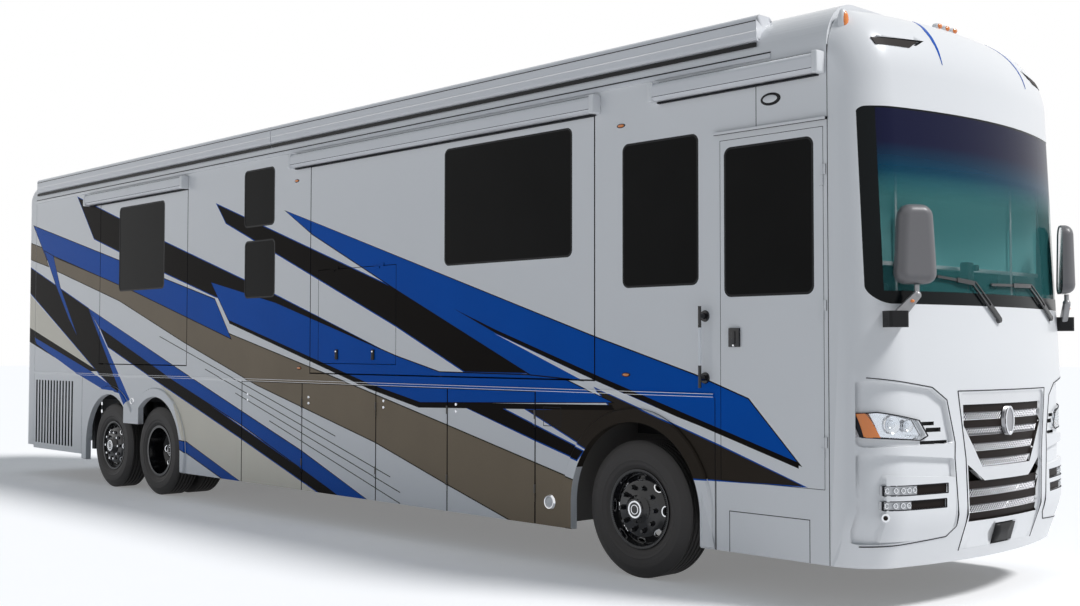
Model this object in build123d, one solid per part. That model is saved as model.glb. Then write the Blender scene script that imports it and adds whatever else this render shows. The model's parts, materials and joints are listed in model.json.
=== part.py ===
from build123d import *
import os

# A three-axle motorhome coach with slide-out rooms.
# Millimetres, +X towards the nose, +Y towards the left side, +Z up, origin on the ground mid length.

# Body shell
BODY_WIDTH = 2590.0
SIDE_Y = BODY_WIDTH / 2
WALL = 60.0
SKIN = 45.0
SKIRT_Z = 304.0
BELT_Z = 1373.0
ROOF_Z = 4050.0
ROOF_EDGE_R = 315.0
TRIM_Z = ROOF_Z - ROOF_EDGE_R
REAR_X = -6905.0
REAR_SEAM_X = -6600.0
REAR_EDGE_R = 150.0
REAR_FOOT_Z = 400.0
SEAM = 6.0
FIT = 0.3
BOND = 0.5
CUT = 50.0

# Nose: a turned profile, foremost between its foot and its rake
NOSE_X = 6910.0
NOSE_R = 4000.0
NOSE_FOOT_BACK = 110.0
NOSE_FOOT_Z = 620.0
NOSE_RAKE_Z = 1550.0
NOSE_RAKE_BACK = 115.0
NOSE_BROW_R = 550.0
NOSE_CHIN_R = 420.0
NOSE_LENGTH = 1785.0
CAP_SEAM_X = 6325.0

# Floors and bays
FLOOR_Z = 1450.0
FLOOR_THICK = 110.0
CAB_FLOOR_Z = 1080.0
CAB_FLOOR_THICK = 80.0
CAB_FLOOR_X = (5292.0, 6700.0)
CAB_WALL = 58.0
STEP_Z = (470.0, 760.0)
STEP_Y = (-900.0, -500.0)
STEP_THICK = 50.0
TOE_WALL_X = (6300.0, 6360.0)
BAY_FLOOR_Z = 400.0
BAY_FLOOR_THICK = 50.0
BAY_END_RUN = (20.0, 380.0)
BULKHEAD = 60.0
RUNNER_W = 60.0
RUNNER_IN = 300.0

# Running gear
TYRE_R = 515.0
TYRE_W = 305.0
TYRE_INSET = 30.0
BEAD_INSET = 45.0
SHOULDER = (22.0, 40.0, 25.0)
RIM_R = 298.0
RIM_LIP = 14.0
RIM_LIP_W = 11.0
RIM_LIP_OUT = 12.0
BARREL = 14.0
HUB_R = 60.0
HUB_RING_R = 105.0
HUB_CAP_R = 80.0
HUB_CAP = 22.0
DISC = 16.0
DISC_OUT = 128.0
DISC_FLAT_R = 195.0
DISC_ROOT = (30.0, 60.0)
HAND_HOLES = 8
HAND_HOLE_R = 233.0
HAND_HOLE = (72.0, 46.0)
HAND_HOLE_EDGE_R = 20.0
FRONT_AXLE_X = 4590.0
DRIVE_AXLE_X = -3048.0
TAG_AXLE_X = -4248.0
WHEEL_Y = SIDE_Y - TYRE_INSET - TYRE_W / 2
TWIN_GAP = 40.0
KINGPIN_Y = 930.0
KINGPIN_R = 30.0
EYE_R = 75.0
EYE_H = 150.0
EAR = 60.0
EAR_GAP = 6.0
BEAM_HALF = 55.0
BEAM_Z = (-70.0, 50.0)
AXLE_HALF = 70.0
AXLE_HOUSING_Y = 560.0
AIR_SPRING_R = 110.0
AIR_SPRING_FOOT = 30.0
DIFF_R = 200.0
SNOUT_R = 80.0
SHAFT_R = 55.0
SHAFT_STOP = 330.0
FRONT_ARCH_R = 655.0
REAR_ARCH_R = 635.0
FLARE_W = 105.0
FLARE_OUT = 22.0
FLARE_ROOT = 10.0
FLARE_EDGE = 12.0
FLARE_DROP = 30.0
FLARE_END = 100.0
ARCH_POST_X = (-3842.0, -3449.0)
ARCH_POST_Z = 812.0

# Chassis and engine
RAIL_Y = 430.0
RAIL_W = 90.0
RAIL_Z = (1020.0, 1300.0)
RAIL_X = (-6560.0, 5270.0)
CROSS_X = (-4900.0, -2600.0, 4000.0, 5150.0)
CROSS_HALF = 50.0
CROSS_INSET = 40.0
ENGINE_BOX = ((-6450.0, -5250.0), 380.0, (560.0, 1250.0))
GEARBOX_BOX = ((-5260.0, -4550.0), 220.0, (600.0, 1000.0))
GEARBOX_OUT_Z = 780.0
ENGINE_MOUNT_X = (-6100.0, -5600.0)
ENGINE_MOUNT_HALF = 60.0
ENGINE_MOUNT_Z = (1100.0, 1180.0)

# Hitch receiver below the rear cap
HITCH_Z = REAR_FOOT_Z - 55.0
HITCH_HALF = 38.0
HITCH_SOCKET_HALF = 25.6
HITCH_BORE_R = 8.2
HITCH_BACK = 60.0
HITCH_PIN_IN = 65.0
HITCH_FLOOR = 30.0
HITCH_DROP = 80.0

# Door openings along the side; bay doors run from one seam to the next
BAY_SEAMS = (-1094.0, 68.0, 1318.0, 2371.0, 3497.0)
ARCH_PANEL_X = (-2415.0, -5064.0)
FRONT_SKIRT_END_X = 5370.0
ENGINE_SKIRT_RISE = 60.0
SEAM_REAR_SIDE = 4.0
SEAM_FRONT_SIDE = 10.0
BAY_HINGE_RISE = (176.0, 776.0)
DOOR_LENGTH = 863.0
DOOR_SEAM_IN = 40.0
DOOR_X = (CAP_SEAM_X - DOOR_SEAM_IN - DOOR_LENGTH, CAP_SEAM_X - DOOR_SEAM_IN)
DOOR_Z = (797.0, TRIM_Z - 545.0)
DOOR_THICK = 50.0
DOOR_HINGE_IN = (203.0, 390.0)
DOOR_SWING_OUT = 6.0
DOOR_HANDLE = (127.0, 1001.0, 90.0, 130.0, 14.0)
GUTTER = (50.0, 45.0, 18.0, 22.0)
HINGE_R = 5.5
HINGE_LEN = 70.0
HINGE_LEAF = 25.0
HINGE_PLATE = 3.0
HINGE_SEAT = 4.0

# Slide-out rooms: name, side, x0, x1, height of the sill above the floor
SLIDE_DEPTH = 800.0
SLIDE_GAP = 12.0
SLIDE_WALL = 45.0
SLIDE_TOP_Z = TRIM_Z - 205.0
SLIDES = (
    ("slide_right_front", -1, 214.0, 4170.0, 30.0),
    ("slide_right_rear", -1, -4575.0, -2321.0, 80.0),
    ("slide_left", 1, -2560.0, 3900.0, 30.0),
)
# Window glass: owner, side, x0, x1, drop of the head below the roof trim, height
WINDOW_R = 60.0
GLASS = 8.0
WINDOWS = (
    ("wall", -1, -1075.0, -468.0, 118.0, 612.0),
    ("wall", -1, -1060.0, -455.0, 873.0, 612.0),
    ("wall", -1, 4473.0, 5222.0, 460.0, 1097.0),
    ("wall", 1, 4473.0, 6190.0, 460.0, 1097.0),
    ("wall", 1, -4500.0, -3300.0, 275.0, 1040.0),
    ("slide_right_rear", -1, -4050.0, -2870.0, 275.0, 1040.0),
    ("slide_right_front", -1, 2325.0, 3928.0, 257.0, 1033.0),
    ("slide_left", 1, -2100.0, -900.0, 257.0, 1033.0),
    ("slide_left", 1, 2000.0, 3500.0, 257.0, 1033.0),
    ("entry_door", -1, 5455.0, 6212.0, 595.0, 1058.0),
)
# Entertainment hatch in the front slide-out: place from the room's rear end and sill
HATCH_IN = (142.0, 96.0)
HATCH_SIZE = (1264.0, 914.0)
HATCH_THICK = 28.0
HATCH_DEPTH = 150.0
HATCH_RIM = 40.0
HATCH_HINGE_IN = (204.0, 944.0)
HATCH_PIN_RISE = 3.0

# Awning cases: side, x0, x1
TOPPER_OUT = 90.0
TOPPER_R = 40.0
TOPPER_DROP = (187.0, 55.0)
TOPPER_CAP = 14.0
TOPPER_CAP_PROUD = 5.0
TOPPERS = (
    (-1, -96.0, 4246.0),
    (-1, -4911.0, -2304.0),
    (-1, 4802.0, 6310.0),
    (1, -2740.0, 4080.0),
)
PATIO_AWNING_X = (-6590.0, -556.0, 5753.0)
PATIO_AWNING_Y = (-SIDE_Y - 5.0, -SIDE_Y + 175.0)
PATIO_AWNING_DROP = (202.0, 6.0)
PATIO_AWNING_R = 40.0
PATIO_AWNING_SEAM = 4.0

# Windscreen
SCREEN_SILL_Z = 2010.0
SCREEN_HEAD_Z = TRIM_Z - 435.0
SCREEN_MARGIN = 33.0
SCREEN_OUT = 2.0
SCREEN_IN = 12.0
SCREEN_FOOT_R = 120.0
SCREEN_HEAD_R = 35.0
SHADE_X = 6560.0
SHADE_Z = (SCREEN_SILL_Z + 290.0, SCREEN_HEAD_Z + 100.0)
SHADE_ROLL_R = 30.0
SHADE_CLOTH = 2.0
SHADE_BAR = (12.0, 30.0)

# Depths of the layers of the front face below its outer surface
LAYER_FACE = 12.0
LAYER_POCKET = 28.0
LAYER_BACK = 50.0
LAYER_PROUD = -25.0

# Front outlines as corners of one half: distance in from the side, height
SHIELD = ((695.0, 1430.0), (769.0, 996.0), (800.0, 384.0))
SHIELD_R = 45.0
UPPER_GRILLE = ((752.0, 1349.0), (756.0, 1211.0), (960.0, 929.0))
LOWER_GRILLE = ((985.0, 836.0), (798.0, 950.0), (818.0, 570.0))
SLAT = 52.5
UPPER_SLATS = 4
LOWER_SLATS = 3
GRILLE_LAP = 3.0
BADGE = (62.0, 100.0)
BADGE_Z = 1229.0
TOW_COVER = (140.0, (387.0, 535.0))
POD_EDGE_X = 6470.0
POD_R = 22.0
POD_TOP = ((5.0, 1520.0), (435.0, 1458.0), (562.0, 1379.0), (638.0, 1105.0), (5.0, 1085.0))
POD_FOOT = ((5.0, 1050.0), (635.0, 1003.0), (676.0, 555.0), (608.0, 499.0), (5.0, 459.0))
POD_BLOCK = ((95.0, 910.0), (655.0, 880.0), (655.0, 480.0), (95.0, 480.0))
LENS = ((10.0, 1300.0), (67.0, 1313.0), (337.0, 1258.0), (411.0, 1156.0), (347.0, 1129.0), (24.0, 1150.0))
LENS_R = 12.0
# Slots beside the lens and running lamp strips: in0, in1, z0, z1
LAMP_SLOTS = ((372.0, 486.0, 1222.0, 1246.0), (412.0, 548.0, 1178.0, 1206.0), (360.0, 606.0, 1100.0, 1122.0))
LAMP_STRIPS = ((82.0, 580.0, 781.0, 843.0), (79.0, 565.0, 688.0, 744.0))
# Brow scoops: distance in from the side, height above the roof trim
SCOOP = ((166.0, 34.0), (617.0, 58.0), (505.0, 5.0))

# Wipers as corners across the nose: y, height above the windscreen's sill; pivot, elbow, tip
WIPERS = (
    ((-115.0, -90.0), (-407.0, 151.0), (-779.0, 186.0)),
    ((830.0, -60.0), (390.0, 159.0), (-201.0, 148.0)),
)
WIPER_ARM = 26.0
WIPER_BLADE = 16.0

# Mirrors: place in from the side, heights above the windscreen's sill
MIRROR_X = 6832.0
MIRROR_IN = 236.0
MIRROR_RISE = (125.0, 640.0)
MIRROR_SIZE = (106.0, 282.0)
MIRROR_TURN = 35.0
MIRROR_R = 46.0
MIRROR_NECK_R = 17.0
MIRROR_ARM_R = 22.0
MIRROR_BALL_R = 28.0
MIRROR_ELBOW_DROP = 70.0
MIRROR_FOOT = (6745.0, 120.0, -100.0)
MIRROR_FOOT_SIZE = (150.0, 130.0, 105.0)

# Lamps: brow lamps as x and y, wall lamps as side, x and drop below the trim or rise above the belt
BROW_LAMPS = ((6384.0, -1190.0), (6450.0, -105.0), (6450.0, 0.0), (6450.0, 105.0), (6384.0, 1190.0))
BROW_LAMP = (34.0, 78.0)
LAMP_DROP = 314.0
LAMP_RISE = 150.0
WALL_LAMPS = ((-1, 4459.0, 4508.0), (-1, -52.0, 12.0), (1, 4459.0, 4508.0), (1, -2800.0, -2800.0))
WALL_LAMP = (45.0, 17.0, 14.0)
TAIL_LAMP_IN = (175.0, 335.0)
TAIL_LAMP_Z = (1560.0, 1780.0, 2000.0)
TAIL_LAMP_H = 200.0
TAIL_LAMP_OUT = 33.0

# Rear
ENGINE_DOOR_Y = 760.0
ENGINE_DOOR_Z = (480.0, 1330.0)
ENGINE_HINGE_Y = (-500.0, 430.0)
REAR_SLOTS = 5
REAR_SLOT = (200.0, 110.0, 45.0, 200.0)
SIDE_SLOTS = 13
SIDE_SLOT = (64.0, 95.0, 45.0)
SIDE_SLOT_Z = (440.0, 1290.0)
BELT_RAIL_OUT = 10.0
BELT_RAIL_Z = (2.0, 28.0)

# Roof units
ROOF_UNIT_X = (-3600.0, 400.0, 3600.0)
ROOF_UNIT = (1000.0, 700.0, 80.0)
ROOF_UNIT_R = 35.0

# Cab: heights above the cab floor
DASH_X = (6250.0, 6560.0)
DASH_END = 145.0
DASH_RISE = (420.0, 880.0)
DASH_LEG_X = (6300.0, 6420.0)
COLUMN_Y = 600.0
COLUMN_R = 25.0
COLUMN_FOOT = (6300.0, 620.0)
COLUMN_HEAD = (6090.0, 830.0)
STEERING_R = 220.0
STEERING_GRIP = 16.0
STEERING_SPOKE = 40.0
SEAT_X = (5420.0, 5960.0)
SEAT_HALF = 270.0
SEAT_RISE = (340.0, 480.0, 1180.0)
SEAT_BACK = 120.0
SEAT_EDGE_R = 10.0
SEAT_FOOT_X = (5560.0, 5860.0)
SEATS = ((600.0, (450.0, 750.0)), (-420.0, (-340.0, -270.0)))

# Grab handle beside the entry door
HANDLE_X = DOOR_X[0] - 143.0
HANDLE_R = 12.0
HANDLE_OUT = 60.0
HANDLE_POSTS = (1511.0, 1953.0)
HANDLE_ENDS = 70.0

SIDES = {"right": -1, "left": 1}

os.makedirs("parts", exist_ok=True)


def span(x0, x1, y0, y1, z0, z1):
    """Box between two corners."""
    return Pos((x0 + x1) / 2, (y0 + y1) / 2, (z0 + z1) / 2) * Box(abs(x1 - x0), abs(y1 - y0), abs(z1 - z0))


def side_span(side, x0, x1, depth0, depth1, z0, z1):
    """Box on one side, with depths counted inwards from the side wall's outer face."""
    return span(x0, x1, side * (SIDE_Y - depth0), side * (SIDE_Y - depth1), z0, z1)


def rod(radius, start, end):
    """Round bar from one point to another."""
    direction = Vector(*end) - Vector(*start)
    plane = Plane(origin=start, z_dir=direction)
    return extrude(plane * Circle(radius), direction.length)


def side_prism(side, sketch, depth0, depth1):
    """Extrude a sketch drawn in x and z through the side wall between two depths."""
    solid = extrude(Plane.XZ * sketch, depth1 - depth0)
    low = min(side * (SIDE_Y - depth0), side * (SIDE_Y - depth1))
    return Pos(0, low - solid.bounding_box().min.Y, 0) * solid


def rect(x0, x1, z0, z1):
    """Plain rectangle between two corners."""
    return Pos((x0 + x1) / 2, (z0 + z1) / 2) * Rectangle(abs(x1 - x0), abs(z1 - z0))


def along(sketch, x0, x1):
    """Extrude a sketch drawn in y and z between two stations along the body."""
    return Pos(x0, 0, 0) * extrude(Plane.YZ * sketch, x1 - x0)


def publish(name, *solids):
    """Write one node made of one or more separate solids."""
    flat = []
    for solid in solids:
        flat.extend(solid.solids())
    shape = flat[0] if len(flat) == 1 else Compound(children=flat)
    export_step(shape, f"parts/{name}.step")


nose_cache = {}


def nose(inset):
    """Front of the body as a turned profile between the side planes, moved in by an inset."""
    if inset in nose_cache:
        return nose_cache[inset]
    axis_x = NOSE_X - NOSE_R
    top_z = ROOF_Z - inset
    foot_z = SKIRT_Z if inset <= 0 else SKIRT_Z - WALL
    outline = Polyline(
        (axis_x, foot_z),
        (NOSE_X - NOSE_FOOT_BACK - inset, foot_z),
        (NOSE_X - inset, NOSE_FOOT_Z),
        (NOSE_X - inset, NOSE_RAKE_Z),
        (NOSE_X - NOSE_RAKE_BACK - inset, top_z),
        (axis_x, top_z),
        close=True,
    )
    face = make_face(outline)
    top = face.vertices().filter_by_position(Axis.Y, top_z - 1, top_z + 1).sort_by(Axis.X)[-1]
    face = fillet(top, NOSE_BROW_R - inset)
    knees = face.vertices().filter_by_position(Axis.Y, NOSE_FOOT_Z - 1, NOSE_FOOT_Z + 1)
    face = fillet(knees.sort_by(Axis.X)[-1], NOSE_CHIN_R)
    axis = Axis((axis_x, 0, 0), (0, 0, 1))
    turned = revolve(Plane.XZ * face, axis).rotate(axis, 180)
    half = SIDE_Y - inset
    back_x = NOSE_X - NOSE_LENGTH
    block = turned & span(back_x, NOSE_X + CUT, -half, half, 0, ROOF_Z + CUT)
    edges = []
    for edge in block.edges():
        middle = edge.center()
        if abs(abs(middle.Y) - half) < 1 and middle.X > back_x + 1 and middle.Z > foot_z + 1:
            edges.append(edge)
    nose_cache[inset] = fillet(edges, ROOF_EDGE_R - inset)
    return nose_cache[inset]


def nose_skin(outer, inner):
    """Layer of the front between two insets."""
    return nose(outer) - nose(inner)


def front_prism(sketch, start=CAP_SEAM_X - CUT):
    """Extrude a sketch drawn in y and z along the nose."""
    return along(sketch, start, NOSE_X + CUT)


def half_outline(corners):
    """Symmetric outline across the nose from the corners of one half."""
    half = [(SIDE_Y - inset, z) for inset, z in corners]
    mirrored = [(-y, z) for y, z in reversed(half)]
    return make_face(Polyline(*half, *mirrored, close=True))


def side_outline(side, corners):
    """Outline on one side of the nose from its corners."""
    return make_face(Polyline(*[(side * (SIDE_Y - inset), z) for inset, z in corners], close=True))


def side_rect(side, in0, in1, z0, z1):
    """Rectangle on one side of the nose."""
    return rect(side * (SIDE_Y - in0), side * (SIDE_Y - in1), z0, z1)


def shrunk(sketch, amount):
    """Outline moved in by a clearance."""
    return offset(sketch, -amount, kind=Kind.INTERSECTION)


def roof_section(inset):
    """Cross-section of the body seen along its length, moved in by an inset."""
    half = SIDE_Y - inset
    top = ROOF_Z - inset
    sketch = Pos(0, top / 2) * Rectangle(2 * half, top)
    corners = sketch.vertices().sort_by(Axis.Y)[-2:]
    return fillet(corners, ROOF_EDGE_R - inset)


def arch_disc(x, radius):
    """Disc about a wheel centre, in x and z."""
    return Pos(x, TYRE_R) * Circle(radius)


def windows_of(owner, side):
    """Window outlines of one owner on one side, as x0, x1, z0, z1."""
    rows = []
    for name, window_side, x0, x1, drop, height in WINDOWS:
        if name == owner and window_side == side:
            rows.append((x0, x1, TRIM_Z - drop - height, TRIM_Z - drop))
    return rows


def window_sketch(x0, x1, z0, z1, shrink=0.0):
    """Rounded window outline in x and z."""
    width = x1 - x0 - 2 * shrink
    height = z1 - z0 - 2 * shrink
    return Pos((x0 + x1) / 2, (z0 + z1) / 2) * RectangleRounded(width, height, WINDOW_R)


def panes(owner, side):
    """Glass for each window of an owner, flush with the outer face."""
    return [side_prism(side, window_sketch(*row, shrink=BOND), 0, GLASS) for row in windows_of(owner, side)]


def cut_windows(solid, owner, side):
    """Cut each window of an owner through its wall."""
    for row in windows_of(owner, side):
        solid -= side_prism(side, window_sketch(*row), -CUT, WALL + CUT)
    return solid


def upright_hinge(side, x, z, plate):
    """Knuckles about an upright pin just outside the wall: moving one, fixed one."""
    y = side * (SIDE_Y + DOOR_SWING_OUT)
    moving = rod(HINGE_R, (x, y, z), (x, y, z + HINGE_LEN))
    moving += side_span(side, x - HINGE_LEAF, x, -DOOR_SWING_OUT, HINGE_SEAT, z, z + HINGE_LEN)
    low = z + HINGE_LEN + FIT
    fixed = rod(HINGE_R, (x, y, low), (x, y, low + HINGE_LEN))
    if plate:
        leaf_x = (x + BOND, x + BOND + HINGE_PLATE)
        fixed += side_span(side, *leaf_x, -DOOR_SWING_OUT, WALL, low, low + HINGE_LEN)
    else:
        fixed += side_span(side, x, x + HINGE_LEAF, -DOOR_SWING_OUT, HINGE_SEAT, low, low + HINGE_LEN)
    return moving, fixed


def door_hinges():
    """Heights of the entry door's hinges."""
    low = DOOR_Z[0] + DOOR_HINGE_IN[0]
    high = DOOR_Z[1] - DOOR_HINGE_IN[1]
    return low, (low + high) / 2, high


# Side walls with window, slide-out and doorway openings
for label, side in SIDES.items():
    wall = side_span(side, REAR_SEAM_X + SEAM, FRONT_SKIRT_END_X, 0, WALL, BELT_Z, TRIM_Z)
    wall += side_span(side, FRONT_SKIRT_END_X, CAP_SEAM_X - SEAM, 0, WALL, SKIRT_Z, TRIM_Z)
    wall = cut_windows(wall, "wall", side)
    for _, slide_side, x0, x1, sill in SLIDES:
        if slide_side == side:
            room_z = (FLOOR_Z + sill - SLIDE_GAP, SLIDE_TOP_Z + SLIDE_GAP)
            wall -= side_span(side, x0 - SLIDE_GAP, x1 + SLIDE_GAP, -CUT, WALL + CUT, *room_z)
    if side < 0:
        gap = SEAM_REAR_SIDE
        doorway_z = (DOOR_Z[0] - gap, DOOR_Z[1] + gap)
        wall -= side_span(side, DOOR_X[0] - gap, DOOR_X[1] + gap, -CUT, WALL + CUT, *doorway_z)
        for z in door_hinges():
            wall += upright_hinge(side, DOOR_X[1], z, plate=False)[1]
        lap, rise, height, out = GUTTER
        gutter_x = (DOOR_X[0] - lap, CAP_SEAM_X - SEAM)
        wall += side_span(side, *gutter_x, -out, HINGE_SEAT, DOOR_Z[1] + rise, DOOR_Z[1] + rise + height)
    publish(f"{label}_wall", wall)

publish("window_glass", *panes("wall", -1), *panes("wall", 1))

# Roof with rounded edges
roof = along(roof_section(0), REAR_SEAM_X + SEAM, CAP_SEAM_X - SEAM)
roof -= along(roof_section(WALL), REAR_SEAM_X, CAP_SEAM_X)
roof &= span(REAR_SEAM_X, CAP_SEAM_X, -SIDE_Y, SIDE_Y, TRIM_Z, ROOF_Z)
publish("roof", roof)


def screen_outline(shrink):
    """Windscreen outline in y and z, with rounder corners at its foot."""
    half = SIDE_Y - SCREEN_MARGIN - shrink
    sketch = rect(-half, half, SCREEN_SILL_Z + shrink, SCREEN_HEAD_Z - shrink)
    sketch = fillet(sketch.vertices().sort_by(Axis.Y)[:2], SCREEN_FOOT_R)
    return fillet(sketch.vertices().sort_by(Axis.Y)[-2:], SCREEN_HEAD_R)


def slat_rows(top_z, count):
    """Every second row of a grille field, from its top down."""
    rows = None
    for row in range(count):
        high = top_z - 2 * row * SLAT
        bar = rect(-SIDE_Y, SIDE_Y, high - SLAT, high)
        rows = bar if rows is None else rows + bar
    return rows


# Front cap with windscreen, grille and headlamp openings
pods = []
drills = []
lenses = []
for side in SIDES.values():
    upper = fillet(side_outline(side, POD_TOP).vertices(), POD_R)
    lower = fillet(side_outline(side, POD_FOOT).vertices(), POD_R)
    lower -= side_outline(side, POD_BLOCK)
    pods.extend([upper, lower])
    lens = side_outline(side, LENS)
    drills.append(lens)
    lens_inset = fillet(shrunk(lens, BOND).vertices(), LENS_R)
    lenses.append(nose_skin(LAYER_FACE, LAYER_BACK) & front_prism(lens_inset, POD_EDGE_X))
    for row in LAMP_STRIPS:
        strip = side_rect(side, *row)
        pods.append(strip)
        strip_prism = front_prism(shrunk(strip, BOND), POD_EDGE_X)
        lenses.append(nose_skin(LAYER_FACE, LAYER_POCKET) & strip_prism)
shield = fillet(half_outline(SHIELD).vertices(), SHIELD_R)
cap = nose_skin(0, WALL) & span(CAP_SEAM_X, NOSE_X + CUT, -SIDE_Y, SIDE_Y, 0, ROOF_Z)
cap -= front_prism(screen_outline(0))
cap -= front_prism(shield)
for outline in drills:
    cap -= front_prism(fillet(outline.vertices(), LENS_R), POD_EDGE_X)
for outline in pods:
    cap -= front_prism(outline, POD_EDGE_X) - nose(LAYER_POCKET)
for side in SIDES.values():
    for row in LAMP_SLOTS:
        cap -= front_prism(side_rect(side, *row), POD_EDGE_X) - nose(LAYER_BACK)
    scoop = side_outline(side, [(inset, TRIM_Z + rise) for inset, rise in SCOOP])
    cap -= front_prism(scoop) - nose(LAYER_POCKET)
publish("front_cap", cap)
publish("front_lamps", *lenses)
publish("windscreen", nose_skin(SCREEN_OUT, SCREEN_IN) & front_prism(screen_outline(BOND)))

# Grille: a shield plate with two slatted fields, a plain oval badge and a tow eye cover
fields = [
    (half_outline(UPPER_GRILLE), UPPER_GRILLE[0][1], UPPER_SLATS),
    (half_outline(LOWER_GRILLE), LOWER_GRILLE[0][1], LOWER_SLATS),
]
shield_inset = fillet(shrunk(half_outline(SHIELD), BOND).vertices(), SHIELD_R)
grille = nose_skin(LAYER_FACE, LAYER_BACK) & front_prism(shield_inset)
for outline, top_z, count in fields:
    grille -= front_prism(outline)
for outline, top_z, count in fields:
    slats = offset(outline, GRILLE_LAP, kind=Kind.INTERSECTION) & slat_rows(top_z, count)
    grille += nose_skin(LAYER_POCKET, LAYER_BACK) & front_prism(slats)
grille += nose_skin(SCREEN_OUT, WALL) & front_prism(Pos(0, BADGE_Z) * Ellipse(*BADGE))
cover_half, cover_z = TOW_COVER
cover = rect(-cover_half, cover_half, *cover_z)
grille -= front_prism(cover) - nose(LAYER_POCKET)
grille += nose_skin(SCREEN_OUT, WALL) & front_prism(shrunk(cover, LAYER_FACE))
publish("grille", grille)

# Rear cap with the engine door opening
rear = along(roof_section(0), REAR_X, REAR_SEAM_X)
rear_edges = [e for e in rear.edges() if abs(e.center().X - REAR_X) < 1 and e.center().Z > 1]
rear = fillet(rear_edges, REAR_EDGE_R)
rear -= along(roof_section(WALL), REAR_X + WALL, REAR_SEAM_X)
rear &= span(REAR_X, REAR_SEAM_X, -SIDE_Y, SIDE_Y, REAR_FOOT_Z, ROOF_Z)
gap = SEAM_REAR_SIDE
lid_span = (-ENGINE_DOOR_Y - gap, ENGINE_DOOR_Y + gap, ENGINE_DOOR_Z[0] - gap, ENGINE_DOOR_Z[1] + gap)
rear -= span(REAR_X - CUT, REAR_X + WALL + CUT, *lid_span)
engine_door = span(REAR_X, REAR_X + SKIN, -ENGINE_DOOR_Y, ENGINE_DOOR_Y, *ENGINE_DOOR_Z)
lid_x = REAR_X - DOOR_SWING_OUT
lid_z = ENGINE_DOOR_Z[1]
seat_x = REAR_X + HINGE_SEAT
for y in ENGINE_HINGE_Y:
    engine_door += rod(HINGE_R, (lid_x, y, lid_z), (lid_x, y + HINGE_LEN, lid_z))
    engine_door += span(lid_x, seat_x, y, y + HINGE_LEN, lid_z - HINGE_LEAF, lid_z)
    near = y + HINGE_LEN + FIT
    rear += rod(HINGE_R, (lid_x, near, lid_z), (lid_x, near + HINGE_LEN, lid_z))
    rear += span(lid_x, seat_x, near, near + HINGE_LEN, lid_z, lid_z + HINGE_LEAF)
slot_start, slot_pitch, slot_height, slot_end = REAR_SLOT
for row in range(REAR_SLOTS):
    slot_z = ENGINE_DOOR_Z[0] + slot_start + row * slot_pitch
    slot_half = ENGINE_DOOR_Y - slot_end
    engine_door -= span(REAR_X - CUT, REAR_X + CUT, -slot_half, slot_half, slot_z, slot_z + slot_height)
publish("rear_cap", rear)
publish("engine_door", engine_door)
tail_lamps = []
for side in SIDES.values():
    lamp_y = [side * (SIDE_Y - inset) for inset in TAIL_LAMP_IN]
    for z in TAIL_LAMP_Z:
        tail_lamps.append(span(REAR_X - TAIL_LAMP_OUT, REAR_X, *lamp_y, z, z + TAIL_LAMP_H))
publish("tail_lamps", *tail_lamps)


def flared(side, panel, flare, holes):
    """Skirt panel with a raised lip round its wheel openings."""
    lip = side_prism(side, flare, -FLARE_OUT, FLARE_ROOT)
    face = side * (SIDE_Y + FLARE_OUT)
    lip = chamfer([e for e in lip.edges() if abs(e.center().Y - face) < 1], FLARE_EDGE)
    solid = side_prism(side, panel, 0, SKIN) + lip
    return solid - side_prism(side, holes, -CUT, SKIN + CUT)


# Skirt panels with wheel arches and flared lips
skirts = []
flare_top = BELT_Z - FLARE_DROP
below = SKIRT_Z - CUT
for side in SIDES.values():
    engine_x = (REAR_SEAM_X + SEAM, ARCH_PANEL_X[1] - SEAM)
    engine_side = side_span(side, *engine_x, 0, SKIN, SKIRT_Z + ENGINE_SKIRT_RISE, BELT_Z)
    slot_in, slot_pitch, slot_w = SIDE_SLOT
    for slot in range(SIDE_SLOTS):
        x = engine_x[0] + slot_in + slot * slot_pitch
        engine_side -= side_span(side, x, x + slot_w, -CUT, SKIN + CUT, *SIDE_SLOT_Z)
    skirts.append(engine_side)
    arch = rect(ARCH_PANEL_X[1], BAY_SEAMS[0] - SEAM_REAR_SIDE, SKIRT_Z, BELT_Z)
    holes = arch_disc(DRIVE_AXLE_X, REAR_ARCH_R) + arch_disc(TAG_AXLE_X, REAR_ARCH_R)
    holes += rect(TAG_AXLE_X, DRIVE_AXLE_X, below, ARCH_POST_Z)
    holes += rect(TAG_AXLE_X - REAR_ARCH_R, DRIVE_AXLE_X + REAR_ARCH_R, below, TYRE_R)
    holes -= rect(*ARCH_POST_X, ARCH_POST_Z, BELT_Z)
    flare = arch_disc(DRIVE_AXLE_X, REAR_ARCH_R + FLARE_W) + arch_disc(TAG_AXLE_X, REAR_ARCH_R + FLARE_W)
    flare &= rect(ARCH_PANEL_X[1], BAY_SEAMS[0] - FLARE_END, SKIRT_Z, flare_top)
    skirts.append(flared(side, arch, flare, holes))
    front = rect(BAY_SEAMS[-1] + SEAM_FRONT_SIDE, FRONT_SKIRT_END_X - SEAM, SKIRT_Z, BELT_Z)
    flare = arch_disc(FRONT_AXLE_X, FRONT_ARCH_R + FLARE_W)
    flare &= rect(BAY_SEAMS[-1] + FLARE_END, FRONT_SKIRT_END_X - SEAM, SKIRT_Z, flare_top)
    hole = arch_disc(FRONT_AXLE_X, FRONT_ARCH_R)
    hole += rect(FRONT_AXLE_X - FRONT_ARCH_R, FRONT_AXLE_X + FRONT_ARCH_R, below, TYRE_R)
    skirts.append(flared(side, front, flare, hole))
publish("side_skirts", *skirts)

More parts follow.
